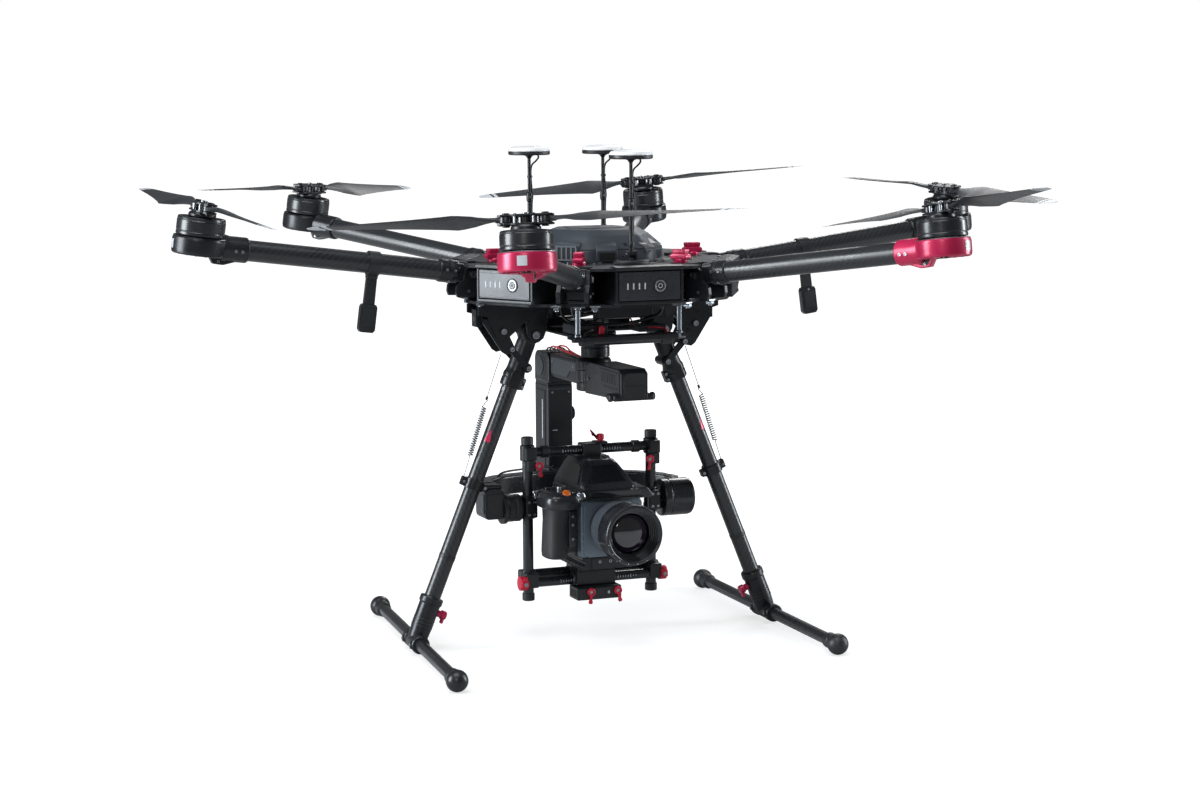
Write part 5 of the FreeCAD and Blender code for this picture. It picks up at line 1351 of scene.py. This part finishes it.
LZ = -374.0
p = Piece("lens_barrel", SATIN, RIBS_FINE, GLOSS, GLASS, PALE)
A = (0, 0, LZ)
p.lathe([(29, 43), (30, 45), (30, 52), (31.5, 53), (31.5, 57), (33, 58), (37.4, 72), (37.4, 73.5)], A,
        FRONT, 0, 72, 0.4)
p.lathe([(36.4, 73.5), (38.0, 74.5), (38.0, 99), (36.4, 100)], A, FRONT, 1, 72, 0.4)
p.lathe([(36.6, 99.6), (37.6, 100.6), (37.6, 102), (39.2, 104.4), (42.2, 110), (42.5, 112), (42.5, 139),
         (42.1, 141.6), (41.2, 143),
         (38.4, 143.4), (37.2, 142.6), (36.4, 140.6)], A, FRONT, 0, 80, 0.4, caps=False)
p.lathe([(42.6, 113.4), (42.75, 114), (42.75, 115.2), (42.6, 115.8)], A, FRONT, 2, 80, 0, caps=False)
p.lathe([(42.6, 133), (42.75, 133.6), (42.75, 134.6), (42.6, 135.2)], A, FRONT, 2, 80, 0, caps=False)
for i in range(18):
    a0 = -2.3 + 0.09 * i
    p.lathe([(42.65, 118 if i % 3 else 116.8), (42.65, 120.4)], A, FRONT, 4, 2, 0, span=(a0, a0 + 0.02))
# Inside: stepped cone, retaining rings and the curved glass
p.lathe([(37.2, 142.4), (35.6, 142.0), (35.2, 139.6), (34.4, 139.4), (34.0, 136.8), (33.2, 136.6),
         (32.4, 133.6), (31.4, 133.4),
         (30.8, 130.6), (30.0, 130.4), (29.4, 127.6), (28.6, 127.2), (28.2, 124.4)], A, FRONT, 2, 72, 0,
        caps=False)
dome = [(28.4 * math.sin(t), 122.0 + 8.6 * (math.cos(t) - math.cos(1.35)) / (1 - math.cos(1.35))) for t in
        [QUARTER * (1 - k / 12) for k in range(12)]]
p.lathe(dome + [(0, 122.0 + 8.6)], A, FRONT, 3, 72, 0)
for i in range(6):
    t = 0.35 * i
    p.lathe([(39.9, 143.25), (40.9, 143.25)], A, FRONT, 4, 1, 0, span=(t + 3.4, t + 3.4 + 0.035))
p.lathe([(3.4, 0), (3.4, 2.2)], (-30.5, -50, LZ + 22), (-0.8, 0, 0.6), 2, 16, 0.3)
p.box(-6, 6, -72, -56, LZ - 38, LZ - 33, 1.0, 0)
p.done("camera_cage", "lens")

# ------------------------------------------------------------ stage
CAD_LOOK = {
    "top_plate": WEAVE_FLAT, "bottom_plate": WEAVE_FLAT, "battery_bay": WEAVE_FLAT, "arm_yokes": BLACK_CAD,
    "mast_feet": PLASTIC_CAD, "gear_brackets": BLACK_CAD, "electronics": PLASTIC_CAD,
            "plate_screws": SILVER,
}
for name, o in frame["nodes"].items():
    look = CAD_LOOK.get(name, BLACK_CAD)
    if not o.data.materials:
        o.data.materials.append(look)
    for i in range(len(o.data.materials)):
        o.data.materials[i] = look

floor_mesh = bpy.data.meshes.new("Floor")
floor_mesh.from_pydata([(-14, -10, 0), (14, -10, 0), (14, 18, 0), (-14, 18, 0)], [], [(0, 1, 2, 3)])
floor = bpy.data.objects.new("Floor", floor_mesh)
floor.location.z = cad_lo.z - 0.0005
scene.collection.objects.link(floor)
fl = Nodes("FloorPale")
fl.link(fl.mix(fl.remap(fl.noise(fl.coords(), 3.0), 0, 1), (0.50, 0.50, 0.50), (0.52, 0.52, 0.52)),
        fl.bsdf.inputs["Base Color"])
fl.bsdf.inputs["Roughness"].default_value = 0.9
fl.bsdf.inputs["Specular IOR Level"].default_value = 0.0
fl.bsdf.inputs["Emission Color"].default_value = (1, 1, 1, 1)
far = fl.new("VectorMath", operation="LENGTH")
fl.link(fl.coords(), far.inputs[0])
glow = fl.math("MULTIPLY", fl.new("LightPath").outputs["Is Camera Ray"],
               fl.remap(far.outputs["Value"], 0.62, 1.0, 0.5, 1.8))
fl.link(glow, fl.bsdf.inputs["Emission Strength"])
floor_mesh.materials.append(fl.mat)


def softbox(name, at, aim, size, power, colour=(1, 1, 1)):
    """Area light aimed at a point, hidden from the camera."""
    data = bpy.data.lights.new(name, "AREA")
    data.shape, data.size, data.size_y, data.energy, data.color = "RECTANGLE", size[0], size[1], power, colour
    o = bpy.data.objects.new(name, data)
    o.location = at
    o.rotation_euler = (Vector(aim) - Vector(at)).to_track_quat("-Z", "Y").to_euler()
    scene.collection.objects.link(o)
    o.visible_camera = False


softbox("Top", (-0.8, -0.9, 3.4), (0, 0, -0.1), (3.0, 2.2), 100, (0.94, 0.97, 1.0))
softbox("LeftTall", (-3.6, 0.45, 0.3), (0, 0, -0.1), (1.5, 2.8), 190, (0.90, 0.96, 1.0))
softbox("RightTall", (3.2, -0.7, 0.4), (0, 0, -0.2), (0.8, 2.6), 90, (0.90, 0.96, 1.0))
softbox("RearRim", (2.2, 3.0, 2.0), ORIGIN, (1.6, 0.8), 36)
softbox("FrontFill", (-2.6, -4.2, 1.9), (0, 0, -0.2), (1.2, 1.2), 34)

world = bpy.data.worlds.new("Studio")
scene.world = world
world.use_nodes = True
wt = world.node_tree
back = wt.nodes["Background"]
path, amount = wt.nodes.new("ShaderNodeLightPath"), wt.nodes.new("ShaderNodeMapRange")
wt.links.new(path.outputs["Is Camera Ray"], amount.inputs[0])
amount.inputs[3].default_value, amount.inputs[4].default_value = 0.13, 1.0
wt.links.new(amount.outputs[0], back.inputs["Strength"])
back.inputs["Color"].default_value = (1, 1, 1, 1)
scene.view_settings.view_transform = "Standard"
scene.view_settings.look = "None"
